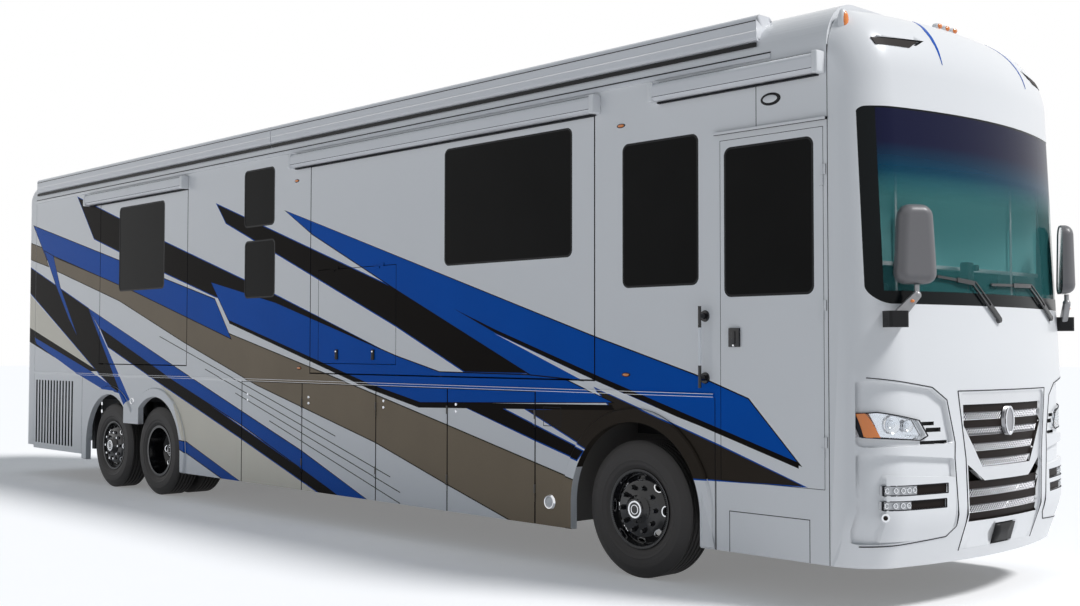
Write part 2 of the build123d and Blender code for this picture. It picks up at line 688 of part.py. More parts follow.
# Belt rails
rail_z = (BELT_Z + BELT_RAIL_Z[0], BELT_Z + BELT_RAIL_Z[1])
rail_x = (REAR_SEAM_X + SEAM, FRONT_SKIRT_END_X - FLARE_EDGE)
publish("belt_rails", *[side_span(s, *rail_x, -BELT_RAIL_OUT, 0, *rail_z) for s in SIDES.values()])

# Floor with slide-out runners, bulkheads and bays
inner = SIDE_Y - WALL
floor_low = FLOOR_Z - FLOOR_THICK
base = span(REAR_SEAM_X, CAB_FLOOR_X[0] - BOND, -inner, inner, floor_low, FLOOR_Z)
for _, side, x0, x1, sill in SLIDES:
    for x in (x0 + RUNNER_IN, (x0 + x1) / 2, x1 - RUNNER_IN):
        runner_x = (x - RUNNER_W / 2, x + RUNNER_W / 2)
        base += side_span(side, *runner_x, WALL, SLIDE_DEPTH, FLOOR_Z, FLOOR_Z + sill - FIT)
bay_x = (ARCH_PANEL_X[0] + BAY_END_RUN[0], BAY_SEAMS[-1] + BAY_END_RUN[1])
base += span(*bay_x, -inner, inner, BAY_FLOOR_Z - BAY_FLOOR_THICK, BAY_FLOOR_Z)
for x in (bay_x[0] + BULKHEAD / 2, *BAY_SEAMS, bay_x[1] - BULKHEAD / 2):
    base += span(x - BULKHEAD / 2, x + BULKHEAD / 2, -inner, inner, BAY_FLOOR_Z, floor_low)
for side in SIDES.values():
    notch_y = (side * RAIL_Y - RAIL_W / 2 - FIT, side * RAIL_Y + RAIL_W / 2 + FIT)
    base -= span(bay_x[0] - CUT, bay_x[1] + CUT, *notch_y, RAIL_Z[0] - FIT, floor_low)
for index in range(len(BAY_SEAMS) - 1):
    x0, x1 = BAY_SEAMS[index : index + 2]
    for label, side in SIDES.items():
        leaf_x = (x0 + SEAM_FRONT_SIDE, x1 - SEAM_REAR_SIDE)
        leaf = side_span(side, *leaf_x, 0, SKIN, SKIRT_Z, BELT_Z - SEAM)
        for rise in BAY_HINGE_RISE:
            moving, fixed = upright_hinge(side, x1, SKIRT_Z + rise, plate=True)
            leaf += moving
            base += fixed
        publish(f"bay_door_{label}_{index + 1}", leaf)
publish("body_floor", base)

# Cab floor with the entry steps
well_x = (CAB_FLOOR_X[0] + CAB_WALL / 2, TOE_WALL_X[1])
lip = CAB_WALL / 2
low_step = STEP_Z[0] - STEP_THICK
cab_half = inner - CAB_WALL / 2
cab = span(*CAB_FLOOR_X, STEP_Y[1], cab_half, CAB_FLOOR_Z - CAB_FLOOR_THICK, CAB_FLOOR_Z)
cab += span(CAB_FLOOR_X[0], CAB_FLOOR_X[0] + CAB_WALL, -inner, inner, low_step, FLOOR_Z)
cab += span(*well_x, -cab_half, STEP_Y[1], low_step, STEP_Z[0])
cab += span(*TOE_WALL_X, -cab_half, cab_half, low_step, CAB_FLOOR_Z)
cab += span(*well_x, *STEP_Y, STEP_Z[0], STEP_Z[1])
cab += span(*well_x, STEP_Y[1] - lip, STEP_Y[1] + lip, STEP_Z[0], CAB_FLOOR_Z)
publish("cab_floor", cab & nose(WALL + FIT))

# Slide-out rooms and the entertainment hatch
for name, side, x0, x1, sill in SLIDES:
    z0 = FLOOR_Z + sill
    room = side_span(side, x0, x1, 0, SLIDE_DEPTH, z0, SLIDE_TOP_Z)
    inside_x = (x0 + SLIDE_WALL, x1 - SLIDE_WALL)
    inside_z = (z0 + SLIDE_WALL, SLIDE_TOP_Z - SLIDE_WALL)
    room -= side_span(side, *inside_x, WALL, SLIDE_DEPTH + CUT, *inside_z)
    if name == "slide_right_front":
        hatch_x = (x0 + HATCH_IN[0], x0 + HATCH_IN[0] + HATCH_SIZE[0])
        hatch_z = (z0 + HATCH_IN[1], z0 + HATCH_IN[1] + HATCH_SIZE[1])
        rim_x = (hatch_x[0] - HATCH_RIM, hatch_x[1] + HATCH_RIM)
        rim_z = (hatch_z[0] - HATCH_RIM, hatch_z[1] + HATCH_RIM)
        hole_x = (hatch_x[0] - SEAM, hatch_x[1] + SEAM)
        hole_z = (hatch_z[0] - SEAM, hatch_z[1] + SEAM)
        room += side_span(side, *rim_x, WALL - HINGE_SEAT, HATCH_DEPTH + HATCH_RIM, *rim_z)
        room -= side_span(side, *hole_x, -CUT, HATCH_DEPTH, *hole_z)
        hatch = side_span(side, *hatch_x, 0, HATCH_THICK, *hatch_z)
        pin_y = side * (SIDE_Y + DOOR_SWING_OUT)
        pin_z = hatch_z[1] + HATCH_PIN_RISE
        leaf_depth = (-DOOR_SWING_OUT, HINGE_SEAT)
        for inset in HATCH_HINGE_IN:
            x = hatch_x[0] + inset
            hatch += rod(HINGE_R, (x, pin_y, pin_z), (x + HINGE_LEN, pin_y, pin_z))
            hatch += side_span(side, x, x + HINGE_LEN, *leaf_depth, pin_z - HINGE_LEAF, pin_z)
            near = x + HINGE_LEN + FIT
            room += rod(HINGE_R, (near, pin_y, pin_z), (near + HINGE_LEN, pin_y, pin_z))
            room += side_span(side, near, near + HINGE_LEN, *leaf_depth, pin_z, pin_z + HINGE_LEAF)
        publish("tv_hatch", hatch)
    room = cut_windows(room, name, side)
    publish(name, room)
    publish(f"{name}_glass", *panes(name, side))

# Entry door
door = side_span(-1, *DOOR_X, 0, DOOR_THICK, *DOOR_Z)
door = cut_windows(door, "entry_door", -1)
for z in door_hinges():
    door += upright_hinge(-1, DOOR_X[1], z, plate=False)[0]
grip_in, grip_rise, grip_w, grip_h, grip_out = DOOR_HANDLE
grip_x = (DOOR_X[0] + grip_in - grip_w / 2, DOOR_X[0] + grip_in + grip_w / 2)
grip_z = (DOOR_Z[0] + grip_rise - grip_h / 2, DOOR_Z[0] + grip_rise + grip_h / 2)
door += side_span(-1, *grip_x, -grip_out, HINGE_SEAT, *grip_z)
publish("entry_door", door)
publish("entry_door_glass", *panes("entry_door", -1))


def awning_section(side, proud):
    """Cross-section of a wall awning case in y and z, rounded on its outer edges."""
    z0 = TRIM_Z - TOPPER_DROP[0] - proud
    z1 = TRIM_Z - TOPPER_DROP[1] + proud
    outer = side * (SIDE_Y + TOPPER_OUT + proud)
    sketch = rect(side * SIDE_Y, outer, z0, z1)
    corners = [v for v in sketch.vertices() if abs(v.X - outer) < 1]
    return fillet(corners, TOPPER_R)


# Awning cases
cases = []
for side, x0, x1 in TOPPERS:
    case = along(awning_section(side, 0), x0 + TOPPER_CAP, x1 - TOPPER_CAP)
    case += along(awning_section(side, TOPPER_CAP_PROUD), x0, x0 + TOPPER_CAP)
    case += along(awning_section(side, TOPPER_CAP_PROUD), x1 - TOPPER_CAP, x1)
    cases.append(case)
body = along(roof_section(0), REAR_X, CAP_SEAM_X)
patio_z = (ROOF_Z - PATIO_AWNING_DROP[0], ROOF_Z - PATIO_AWNING_DROP[1])
for x0, x1 in zip(PATIO_AWNING_X[:-1], PATIO_AWNING_X[1:]):
    case = span(x0 + PATIO_AWNING_SEAM, x1 - PATIO_AWNING_SEAM, *PATIO_AWNING_Y, *patio_z)
    case = fillet(case.edges().filter_by(Axis.X), PATIO_AWNING_R)
    cases.append(case - body)
publish("awning_cases", *cases)

# Roof units
units = []
unit_x, unit_y, unit_h = ROOF_UNIT
for x in ROOF_UNIT_X:
    shroud = span(x - unit_x / 2, x + unit_x / 2, -unit_y / 2, unit_y / 2, ROOF_Z, ROOF_Z + unit_h)
    units.append(fillet([e for e in shroud.edges() if e.center().Z > ROOF_Z + 1], ROOF_UNIT_R))
publish("roof_units", *units)

# Chassis rails with crossmembers and the drop to the hitch
frame = None
drop_x = (RAIL_X[0], RAIL_X[0] + HITCH_DROP)
hitch_low = HITCH_Z - HITCH_DROP / 2
for side in SIDES.values():
    rail_y = (side * RAIL_Y - RAIL_W / 2, side * RAIL_Y + RAIL_W / 2)
    rail = span(*RAIL_X, *rail_y, *RAIL_Z)
    rail += span(*drop_x, *rail_y, hitch_low, RAIL_Z[1])
    frame = rail if frame is None else frame + rail
for x in CROSS_X:
    cross_z = (RAIL_Z[0] + CROSS_INSET, RAIL_Z[1] - CROSS_INSET)
    frame += span(x - CROSS_HALF, x + CROSS_HALF, -RAIL_Y, RAIL_Y, *cross_z)
frame += span(*drop_x, -RAIL_Y, RAIL_Y, hitch_low, hitch_low + HITCH_DROP)
publish("chassis_frame", frame)

# Engine and gearbox block, hung between the rails
engine = None
for box_x, box_half, box_z in (ENGINE_BOX, GEARBOX_BOX):
    block = span(*box_x, -box_half, box_half, *box_z)
    engine = block if engine is None else engine + block
SHAFT_START = Vector(GEARBOX_BOX[0][1] - CUT, 0, GEARBOX_OUT_Z)
SHAFT_LINE = Vector(DRIVE_AXLE_X, 0, TYRE_R) - SHAFT_START
SHAFT_END = SHAFT_START + SHAFT_LINE * (1 - SHAFT_STOP / SHAFT_LINE.length)
SNOUT_START = SHAFT_START + SHAFT_LINE * (1 - (SHAFT_STOP - FIT) / SHAFT_LINE.length)
engine += rod(SHAFT_R, tuple(SHAFT_START), tuple(SHAFT_END))
mount_half = RAIL_Y - RAIL_W / 2 - FIT
for x in ENGINE_MOUNT_X:
    engine += span(x - ENGINE_MOUNT_HALF, x + ENGINE_MOUNT_HALF, -mount_half, mount_half, *ENGINE_MOUNT_Z)
publish("engine", engine)


def wheel_turn(section, x, y):
    """Turn a section about a wheel's axis; section x is along the axle, y is radius."""
    turned = revolve(section, Axis.X)
    return Pos(x, y, TYRE_R) * (Rot(0, 0, 90) * turned)


def tyre_section():
    """Tyre cross-section: bead seat, bowed side walls and a flat tread."""
    half = TYRE_W / 2
    bead = half - BEAD_INSET
    low = RIM_R - RIM_LIP + FIT
    wall_in, tread_in, drop = SHOULDER
    return make_face(
        [
            Line((-bead, low), (bead, low)),
            ThreePointArc((bead, low), (half, (low + TYRE_R) / 2), (half - wall_in, TYRE_R - drop)),
            Line((half - wall_in, TYRE_R - drop), (half - tread_in, TYRE_R)),
            Line((half - tread_in, TYRE_R), (-half + tread_in, TYRE_R)),
            Line((-half + tread_in, TYRE_R), (-half + wall_in, TYRE_R - drop)),
            ThreePointArc((-half + wall_in, TYRE_R - drop), (-half, (low + TYRE_R) / 2), (-bead, low)),
        ]
    )


def rim_section(face, outward):
    """Rim cross-section: barrel, lips and a dished disc with its bolting face along the axle."""
    bead = TYRE_W / 2 - BEAD_INSET
    seat = RIM_R - RIM_LIP
    bore = HUB_R + FIT
    reach = bead + RIM_LIP_OUT + RIM_LIP_W
    section = rect(-reach, reach, seat - BARREL, seat)
    for end in (-1, 1):
        section += rect(end * (bead + RIM_LIP_OUT), end * reach, seat - BARREL, RIM_R)
    way = 1 if face > 0 else -1
    root = seat - BARREL / 2
    disc = make_face(
        Polyline(
            (outward * face, bore),
            (outward * face, DISC_FLAT_R),
            (outward * way * DISC_ROOT[1], root),
            (outward * way * DISC_ROOT[0], root),
            (outward * (face - way * DISC), DISC_FLAT_R - DISC / 2),
            (outward * (face - way * DISC), bore),
            close=True,
        )
    )
    return section + disc


def hub_section(outward, start, end):
    """Hub ring round the spindle with a closed cap at its outer end."""
    ring = rect(outward * start, outward * end, HUB_R + FIT, HUB_RING_R)
    return ring + rect(outward * end, outward * (end + HUB_CAP), 0, HUB_CAP_R)


def hand_holes(x, y):
    """Rounded windows through a wheel disc."""
    window = RectangleRounded(HAND_HOLE[1], HAND_HOLE[0], HAND_HOLE_EDGE_R)
    slot = extrude(Plane.XZ * window, TYRE_W, both=True)
    holes = [Rot(0, n * 360 / HAND_HOLES, 0) * Pos(HAND_HOLE_R, 0, 0) * slot for n in range(HAND_HOLES)]
    return Pos(x, y, TYRE_R) * Compound(children=holes)


# Wheels: name, axle, whether a twin; the hub's run along the axle follows the disc
TWIN_FACE = -(TYRE_W + TWIN_GAP) / 2
HUB_RUN = 70.0
HUB_END = DISC_OUT + CAB_WALL / 2
TWIN_HUB_END = -26.0
SPINDLE_GAP = 8.0
WHEELS = (("front", FRONT_AXLE_X, False), ("drive", DRIVE_AXLE_X, True), ("tag", TAG_AXLE_X, False))
for label, side in SIDES.items():
    for name, x, twin in WHEELS:
        rows = [(WHEEL_Y, TWIN_FACE if twin else DISC_OUT)]
        if twin:
            rows.append((WHEEL_Y + 2 * TWIN_FACE, -TWIN_FACE))
        publish(f"{name}_{label}_tyre", *[wheel_turn(tyre_section(), x, side * y) for y, _ in rows])
        hub_start = TWIN_FACE - HUB_RUN if twin else DISC_OUT - HUB_RUN
        hub_end = TWIN_HUB_END if twin else HUB_END
        rims = wheel_turn(hub_section(side, hub_start, hub_end), x, side * WHEEL_Y)
        for y, face in rows:
            rims += wheel_turn(rim_section(face, side), x, side * y) - hand_holes(x, side * y)
        publish(f"{name}_{label}_rim", rims)


def air_springs(x):
    """Plain cylinders between an axle and the chassis rails."""
    foot = TYRE_R + AIR_SPRING_FOOT
    head = RAIL_Z[0] - FIT
    return [rod(AIR_SPRING_R, (x, s * RAIL_Y, foot), (x, s * RAIL_Y, head)) for s in SIDES.values()]


# Front beam axle, knuckles and rear axles
beam_x = (FRONT_AXLE_X - BEAM_HALF, FRONT_AXLE_X + BEAM_HALF)
beam = span(*beam_x, -KINGPIN_Y, KINGPIN_Y, TYRE_R + BEAM_Z[0], TYRE_R + BEAM_Z[1])
spindle_y = WHEEL_Y + HUB_END - SPINDLE_GAP
for label, side in SIDES.items():
    eye = (FRONT_AXLE_X, side * KINGPIN_Y)
    beam += rod(EYE_R, (*eye, TYRE_R - EYE_H / 2), (*eye, TYRE_R + EYE_H / 2))
    beam -= rod(KINGPIN_R + FIT, (*eye, TYRE_R - EYE_H), (*eye, TYRE_R + EYE_H))
    ear = EYE_H / 2 + EAR_GAP
    back = KINGPIN_Y + EYE_R + FLARE_ROOT
    tie_y = (side * back, side * (back + EAR * 2 / 3))
    ear_x = (FRONT_AXLE_X - EAR, FRONT_AXLE_X + EAR)
    knuckle = rod(KINGPIN_R, (*eye, TYRE_R - ear - EAR), (*eye, TYRE_R + ear + EAR))
    for z0 in (ear, -ear - EAR):
        knuckle += span(*ear_x, side * (KINGPIN_Y - BEAM_HALF), tie_y[1], TYRE_R + z0, TYRE_R + z0 + EAR)
    knuckle += span(*ear_x, *tie_y, TYRE_R - ear - EAR, TYRE_R + ear + EAR)
    knuckle += rod(HUB_R, (FRONT_AXLE_X, tie_y[0], TYRE_R), (FRONT_AXLE_X, side * spindle_y, TYRE_R))
    publish(f"knuckle_{label}", knuckle)
for spring in air_springs(FRONT_AXLE_X):
    beam += spring
axles = [beam]
for x, reach in ((DRIVE_AXLE_X, WHEEL_Y + TWIN_HUB_END - SPINDLE_GAP), (TAG_AXLE_X, spindle_y)):
    axle = rod(HUB_R, (x, -reach, TYRE_R), (x, reach, TYRE_R))
    housing_x = (x - AXLE_HALF, x + AXLE_HALF)
    axle += span(*housing_x, -AXLE_HOUSING_Y, AXLE_HOUSING_Y, TYRE_R - AXLE_HALF, TYRE_R + AXLE_HALF)
    if x == DRIVE_AXLE_X:
        axle += Pos(x, 0, TYRE_R) * Sphere(DIFF_R)
        axle += rod(SNOUT_R, tuple(SNOUT_START), (x, 0, TYRE_R))
    for spring in air_springs(x):
        axle += spring
    axles.append(axle)
publish("axles", *axles)

# Mirrors on arms at the corners of the nose
mirrors = []
for side in SIDES.values():
    low = SCREEN_SILL_Z + MIRROR_RISE[0]
    high = SCREEN_SILL_Z + MIRROR_RISE[1]
    centre = (MIRROR_X, side * (SIDE_Y - MIRROR_IN))
    head = fillet(Box(*MIRROR_SIZE, high - low).edges(), MIRROR_R)
    head = Pos(*centre, (low + high) / 2) * Rot(0, 0, side * MIRROR_TURN) * head
    elbow = (*centre, low - MIRROR_ELBOW_DROP)
    foot_x, foot_in, foot_rise = MIRROR_FOOT
    foot = (foot_x, side * (SIDE_Y - foot_in), SCREEN_SILL_Z + foot_rise)
    arm = rod(MIRROR_NECK_R, elbow, (*centre, low + MIRROR_R))
    arm += Pos(*elbow) * Sphere(MIRROR_BALL_R)
    arm += rod(MIRROR_ARM_R, elbow, foot)
    bracket = Box(*MIRROR_FOOT_SIZE)
    bracket = fillet(bracket.edges().filter_by(Axis.Z), MIRROR_ARM_R)
    bracket = Pos(*foot) * Rot(0, 0, side * MIRROR_TURN) * bracket
    mirrors.append(head + arm + (bracket - nose(0)))
publish("mirrors", *mirrors)


def bar(start, end, width):
    """Flat bar between two points of a sketch."""
    along_bar = Vector(*end) - Vector(*start)
    middle = (Vector(*start) + Vector(*end)) * 0.5
    angle = Vector(1, 0, 0).get_signed_angle(along_bar, Vector(0, 0, 1))
    return Pos(middle.X, middle.Y) * Rot(0, 0, angle) * SlotOverall(along_bar.length + width, width)


# Wipers lying on the windscreen
wipers = []
for corners in WIPERS:
    pivot, elbow, tip = [(y, SCREEN_SILL_Z + rise) for y, rise in corners]
    arm = bar(pivot, elbow, WIPER_ARM) + bar(elbow, tip, WIPER_BLADE)
    wipers.append(nose_skin(LAYER_PROUD, -BOND) & front_prism(arm))
publish("wipers", *wipers)

# Marker lamps on the brow and side walls
markers = []
for x, y in BROW_LAMPS:
    lamp_y = (y - BROW_LAMP[1] / 2, y + BROW_LAMP[1] / 2)
    foot = span(x - BROW_LAMP[0], x + BROW_LAMP[0], *lamp_y, TRIM_Z, ROOF_Z + CUT)
    markers.append(nose_skin(LAYER_PROUD, -BOND) & foot)
half_x, half_z, lamp_out = WALL_LAMP
for side, high_x, low_x in WALL_LAMPS:
    for x, z in ((high_x, TRIM_Z - LAMP_DROP), (low_x, BELT_Z + LAMP_RISE)):
        markers.append(side_span(side, x - half_x, x + half_x, -lamp_out, 0, z - half_z, z + half_z))
publish("marker_lamps", *markers)

# Dashboard with the steering wheel
dash_half = SIDE_Y - DASH_END
dash_z = (CAB_FLOOR_Z + DASH_RISE[0], CAB_FLOOR_Z + DASH_RISE[1])
column_foot = (COLUMN_FOOT[0], COLUMN_Y, CAB_FLOOR_Z + COLUMN_FOOT[1])
column_head = (COLUMN_HEAD[0], COLUMN_Y, CAB_FLOOR_Z + COLUMN_HEAD[1])
wheel_plane = Plane(origin=column_head, z_dir=(-1, 0, 1))
dash = span(*DASH_X, -dash_half, dash_half, *dash_z)
dash += span(*DASH_LEG_X, -dash_half, dash_half, CAB_FLOOR_Z, dash_z[0])
dash += rod(COLUMN_R, column_foot, column_head)
dash += wheel_plane * Torus(STEERING_R, STEERING_GRIP)
dash += wheel_plane * Box(2 * STEERING_R, STEERING_SPOKE, STEERING_GRIP)
publish("dashboard", dash & nose(WALL + FIT))

# Roller shade behind the windscreen
bar_half, bar_h = SHADE_BAR
shade = rod(SHADE_ROLL_R, (SHADE_X, -SIDE_Y, SHADE_Z[1]), (SHADE_X, SIDE_Y, SHADE_Z[1]))
shade += span(SHADE_X - SHADE_CLOTH, SHADE_X + SHADE_CLOTH, -dash_half, dash_half, *SHADE_Z)
shade += span(SHADE_X - bar_half, SHADE_X + bar_half, -dash_half, dash_half, SHADE_Z[0] - bar_h, SHADE_Z[0])
publish("windscreen_shade", shade & nose(WALL + FIT))

# Cab seats on their pedestals
seats = []
for y, foot_y in SEATS:
    seat_low, seat_high, seat_top = [CAB_FLOOR_Z + rise for rise in SEAT_RISE]
    seat_y = (y - SEAT_HALF, y + SEAT_HALF)
    seat = span(*SEAT_X, *seat_y, seat_low, seat_high)
    seat += span(SEAT_X[0], SEAT_X[0] + SEAT_BACK, *seat_y, seat_low, seat_top)
    seat += span(*SEAT_FOOT_X, *foot_y, CAB_FLOOR_Z, seat_low)
    seats.append(fillet(seat.edges().filter_by(Axis.X), SEAT_EDGE_R))
publish("cab_seats", *seats)

# Grab handle by the door
bar_y = -SIDE_Y - HANDLE_OUT
bar_z = (HANDLE_POSTS[0] - HANDLE_ENDS, HANDLE_POSTS[1] + HANDLE_ENDS)
handle = rod(HANDLE_R, (HANDLE_X, bar_y, bar_z[0]), (HANDLE_X, bar_y, bar_z[1]))
for z in HANDLE_POSTS:
    handle += rod(HANDLE_R, (HANDLE_X, -SIDE_Y, z), (HANDLE_X, bar_y, z))
publish("grab_handle", handle)

# Hitch receiver with its pin hole
hitch_x = (REAR_X + HITCH_BACK, RAIL_X[0])
hitch = span(*hitch_x, -HITCH_HALF, HITCH_HALF, HITCH_Z - HITCH_HALF, HITCH_Z + HITCH_HALF)
socket_z = (HITCH_Z - HITCH_SOCKET_HALF, HITCH_Z + HITCH_SOCKET_HALF)
hitch -= span(hitch_x[0] - CUT, hitch_x[1] - HITCH_FLOOR, -HITCH_SOCKET_HALF, HITCH_SOCKET_HALF, *socket_z)
pin_x = hitch_x[0] + HITCH_PIN_IN
hitch -= rod(HITCH_BORE_R, (pin_x, -HITCH_HALF - CUT, HITCH_Z), (pin_x, HITCH_HALF + CUT, HITCH_Z))
publish("hitch_receiver", hitch)
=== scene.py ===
import json
from math import atan2, cos, hypot, pi, radians, sin, sqrt

import bmesh
import bpy
from bpy.props import FloatProperty, FloatVectorProperty, IntProperty, PointerProperty
from mathutils import Matrix, Vector


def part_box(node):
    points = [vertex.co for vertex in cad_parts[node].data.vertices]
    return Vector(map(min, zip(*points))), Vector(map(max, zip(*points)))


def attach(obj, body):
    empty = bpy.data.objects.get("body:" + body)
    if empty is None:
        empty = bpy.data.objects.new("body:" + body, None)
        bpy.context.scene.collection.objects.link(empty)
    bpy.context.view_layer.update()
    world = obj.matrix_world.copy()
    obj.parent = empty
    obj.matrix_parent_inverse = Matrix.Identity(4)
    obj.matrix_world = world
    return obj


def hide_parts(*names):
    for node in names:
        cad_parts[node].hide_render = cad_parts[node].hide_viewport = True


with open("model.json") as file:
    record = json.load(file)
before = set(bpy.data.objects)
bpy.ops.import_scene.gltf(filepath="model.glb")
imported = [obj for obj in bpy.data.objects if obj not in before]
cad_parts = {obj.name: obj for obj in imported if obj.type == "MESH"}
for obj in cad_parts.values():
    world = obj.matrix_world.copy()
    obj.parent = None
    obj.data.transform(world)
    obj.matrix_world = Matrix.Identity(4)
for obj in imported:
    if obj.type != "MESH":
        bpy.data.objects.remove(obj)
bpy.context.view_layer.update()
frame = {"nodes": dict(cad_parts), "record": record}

bl_info = {
    "name": "Motorhome Dresser",
    "version": (1, 0, 0),
    "blender": (4, 5, 0),
    "location": "View3D > Sidebar > Motorhome",
    "description": "Paints a packed motorhome and models its glass, lamps, wheels and fittings",
    "category": "Object",
}

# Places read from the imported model, in metres
RECORD = frame["record"]
BODY_OF = {node: body for body, nodes in RECORD["behaviour"]["bodies"].items() for node in nodes}
SIDE_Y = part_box("front_cap")[1][1]
NOSE_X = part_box("front_cap")[1][0]
ROOF_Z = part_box("roof")[1][2]
TRIM_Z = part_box("roof")[0][2]
TYRE_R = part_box("front_right_tyre")[1][2] / 2
TYRE_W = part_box("front_right_tyre")[1][1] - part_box("front_right_tyre")[0][1]
SIDES = {"right": -1, "left": 1}

# Turned form of the nose, as the solids have it: plan, foot, rounded crease, rake and brow
NOSE_R = 4.0
NOSE_AXIS_X = NOSE_X - NOSE_R
NOSE_CORNER_R = ROOF_Z - TRIM_Z
NOSE_FOOT = (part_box("front_cap")[0][2], 0.620, 0.110)
NOSE_CREASE = (0.553, 0.688)
NOSE_RAKE = (1.550, 0.115)
BROW = (3.500, 0.550)

# Stripes on the right side, mirrored to the left: paint, edge line paint, corners as x and z
STRIPES = (
    ("beige", "", ((-3.04, 1.34), (-1.10, 0.76), (0.55, 0.25), (-0.90, 0.25), (-2.36, 0.66), (-2.59, 1.10))),
    ("beige", "", ((-6.95, 2.54), (-4.65, 1.43), (-5.27, 1.42), (-6.95, 2.05))),
    ("taupe", "black", ((-6.04, 2.95), (-4.07, 2.51), (-1.30, 1.86), (0.57, 1.45), (2.36, 1.05), (3.99, 0.68),
                        (4.00, 0.25), (3.40, 0.25), (2.37, 0.54), (1.31, 0.85), (-0.80, 1.34), (-2.40, 1.80),
                        (-4.03, 2.31), (-6.00, 2.78))),
    ("taupe", "black", ((-6.95, 3.21), (-6.39, 3.09), (-6.18, 2.83), (-6.95, 2.99))),
    ("brown", "blue", ((3.40, 1.22), (4.36, 1.26), (4.19, 1.41), (5.39, 1.04), (6.12, 0.805), (5.15, 0.79),
                       (4.11, 0.94))),
    ("black", "blue", ((-6.95, 2.89), (-4.91, 2.23), (-3.87, 1.17), (-4.09, 1.19), (-4.59, 1.41),
                       (-6.95, 2.57))),
    ("black", "", ((-6.95, 2.05), (-4.59, 1.43), (-5.23, 1.42), (-6.95, 1.85))),
    ("black", "blue", ((-4.57, 1.98), (0.58, 0.35), (0.85, 0.25), (0.55, 0.25), (-1.10, 0.76), (-3.04, 1.34),
                       (-4.33, 1.74))),
    ("black", "blue", ((-5.27, 3.69), (-2.85, 2.96), (-0.44, 2.27), (1.62, 1.65), (0.23, 2.00), (-1.67, 2.29),
                       (-4.06, 2.92), (-4.77, 3.12))),
    ("black", "blue", ((-1.66, 3.31), (1.64, 2.26), (3.39, 1.52), (2.61, 1.52), (1.62, 1.93), (-1.46, 3.09))),
    ("black", "blue", ((2.60, 1.22), (3.10, 1.22), (4.07, 0.92), (4.00, 0.85), (3.50, 0.98))),
    ("blue", "", ((-6.62, 1.87), (-4.79, 1.42), (-4.00, 1.19), (-4.48, 1.21), (-5.23, 1.39), (-6.54, 1.78))),
    ("blue", "", ((-4.91, 2.23), (-4.64, 2.01), (-3.72, 1.10), (-3.84, 1.03), (-3.97, 1.17))),
    ("blue", "black", ((-4.91, 2.23), (-2.06, 1.34), (0.07, 0.69), (1.33, 0.25), (0.85, 0.25), (0.58, 0.35),
                       (-1.10, 0.91), (-2.65, 1.36), (-4.57, 1.98))),
    ("blue", "black", ((-2.44, 0.67), (-2.31, 0.66), (-0.95, 0.25), (-1.30, 0.25), (-2.44, 0.58))),
    ("blue", "black", ((-6.69, 3.41), (-4.08, 2.81), (-1.69, 2.26), (-1.34, 1.83), (-3.63, 2.41),
                       (-6.03, 2.97), (-6.23, 2.92))),
    ("blue", "black", ((-6.31, 3.04), (-6.03, 2.96), (-5.79, 2.53), (-5.25, 1.89), (-5.50, 2.11),
                       (-5.92, 2.56))),
    ("black", "", ((-1.39, 2.03), (1.21, 1.39), (1.99, 1.24), (4.36, 1.29), (4.39, 1.25), (1.97, 1.19),
                   (1.21, 1.34), (-1.37, 1.99))),
    ("blue", "black", ((-1.77, 2.45), (-0.44, 2.19), (1.62, 1.65), (2.26, 1.51), (3.76, 1.50), (4.36, 1.31),
                       (1.99, 1.24), (1.21, 1.39), (-1.39, 2.03))),
    ("blue", "black", ((-0.26, 3.13), (1.63, 2.57), (4.17, 1.81), (5.18, 1.53), (5.66, 1.37), (6.08, 0.95),
                       (4.13, 1.47), (3.44, 1.51), (1.61, 2.27), (0.24, 2.86))),
    ("black", "", ((2.45, 2.07), (3.01, 1.88), (4.21, 1.51), (6.08, 0.96), (6.08, 0.92), (4.19, 1.47),
                   (3.01, 1.85))),
    ("white", "", ((2.99, 1.85), (4.19, 1.47), (6.07, 0.91), (5.39, 1.05), (4.13, 1.44))),
)
# Pinstripes: start and end as x and z
PINSTRIPES = (
    ((-2.97, 1.86), (0.66, 0.87)),
    ((-1.89, 1.49), (1.55, 0.54)),
    ((-1.23, 1.24), (1.70, 0.41)),
    ((-0.54, 0.97), (1.70, 0.31)),
)
# Thin seams between panels: start and end as x and z
PANEL_LINES = (
    ((5.495, 0.25), (5.495, 0.587)),
    ((5.492, 0.587), (6.169, 0.587)),
    ((6.166, 0.587), (6.166, 0.25)),
    ((5.375, 0.25), (5.375, 0.790)),
    ((5.740, 3.260), (5.740, 3.560)),
    ((3.600, 1.100), (3.600, 1.250)),
    ((3.597, 1.250), (3.803, 1.250)),
    ((3.800, 1.250), (3.800, 1.100)),
    ((3.803, 1.100), (3.597, 1.100)),
)
# Paints in the order of their numbers, with their finishes. The last paints dark seam lines, and painted
# shade on the edge faces of panels where the gaps fall in shadow
PAINTS = {
    "white": "pearl_white", "blue": "cobalt_blue", "black": "espresso_black", "taupe": "taupe_metallic",
    "brown": "brown_metallic", "beige": "beige_metallic", "seam": "seam_dark",
}
PAINT_ORDER = tuple(PAINTS)
PAINTED = ["right_wall", "left_wall", "side_skirts", "rear_cap", "belt_rails", "entry_door", "tv_hatch"]
PAINTED += ["slide_right_front", "slide_right_rear", "slide_left"]
PAINTED += [f"bay_door_{label}_{number}" for label in SIDES for number in range(1, 5)]
GLAZED = ("window_glass", "entry_door_glass", "slide_right_front_glass", "slide_right_rear_glass",
          "slide_left_glass")

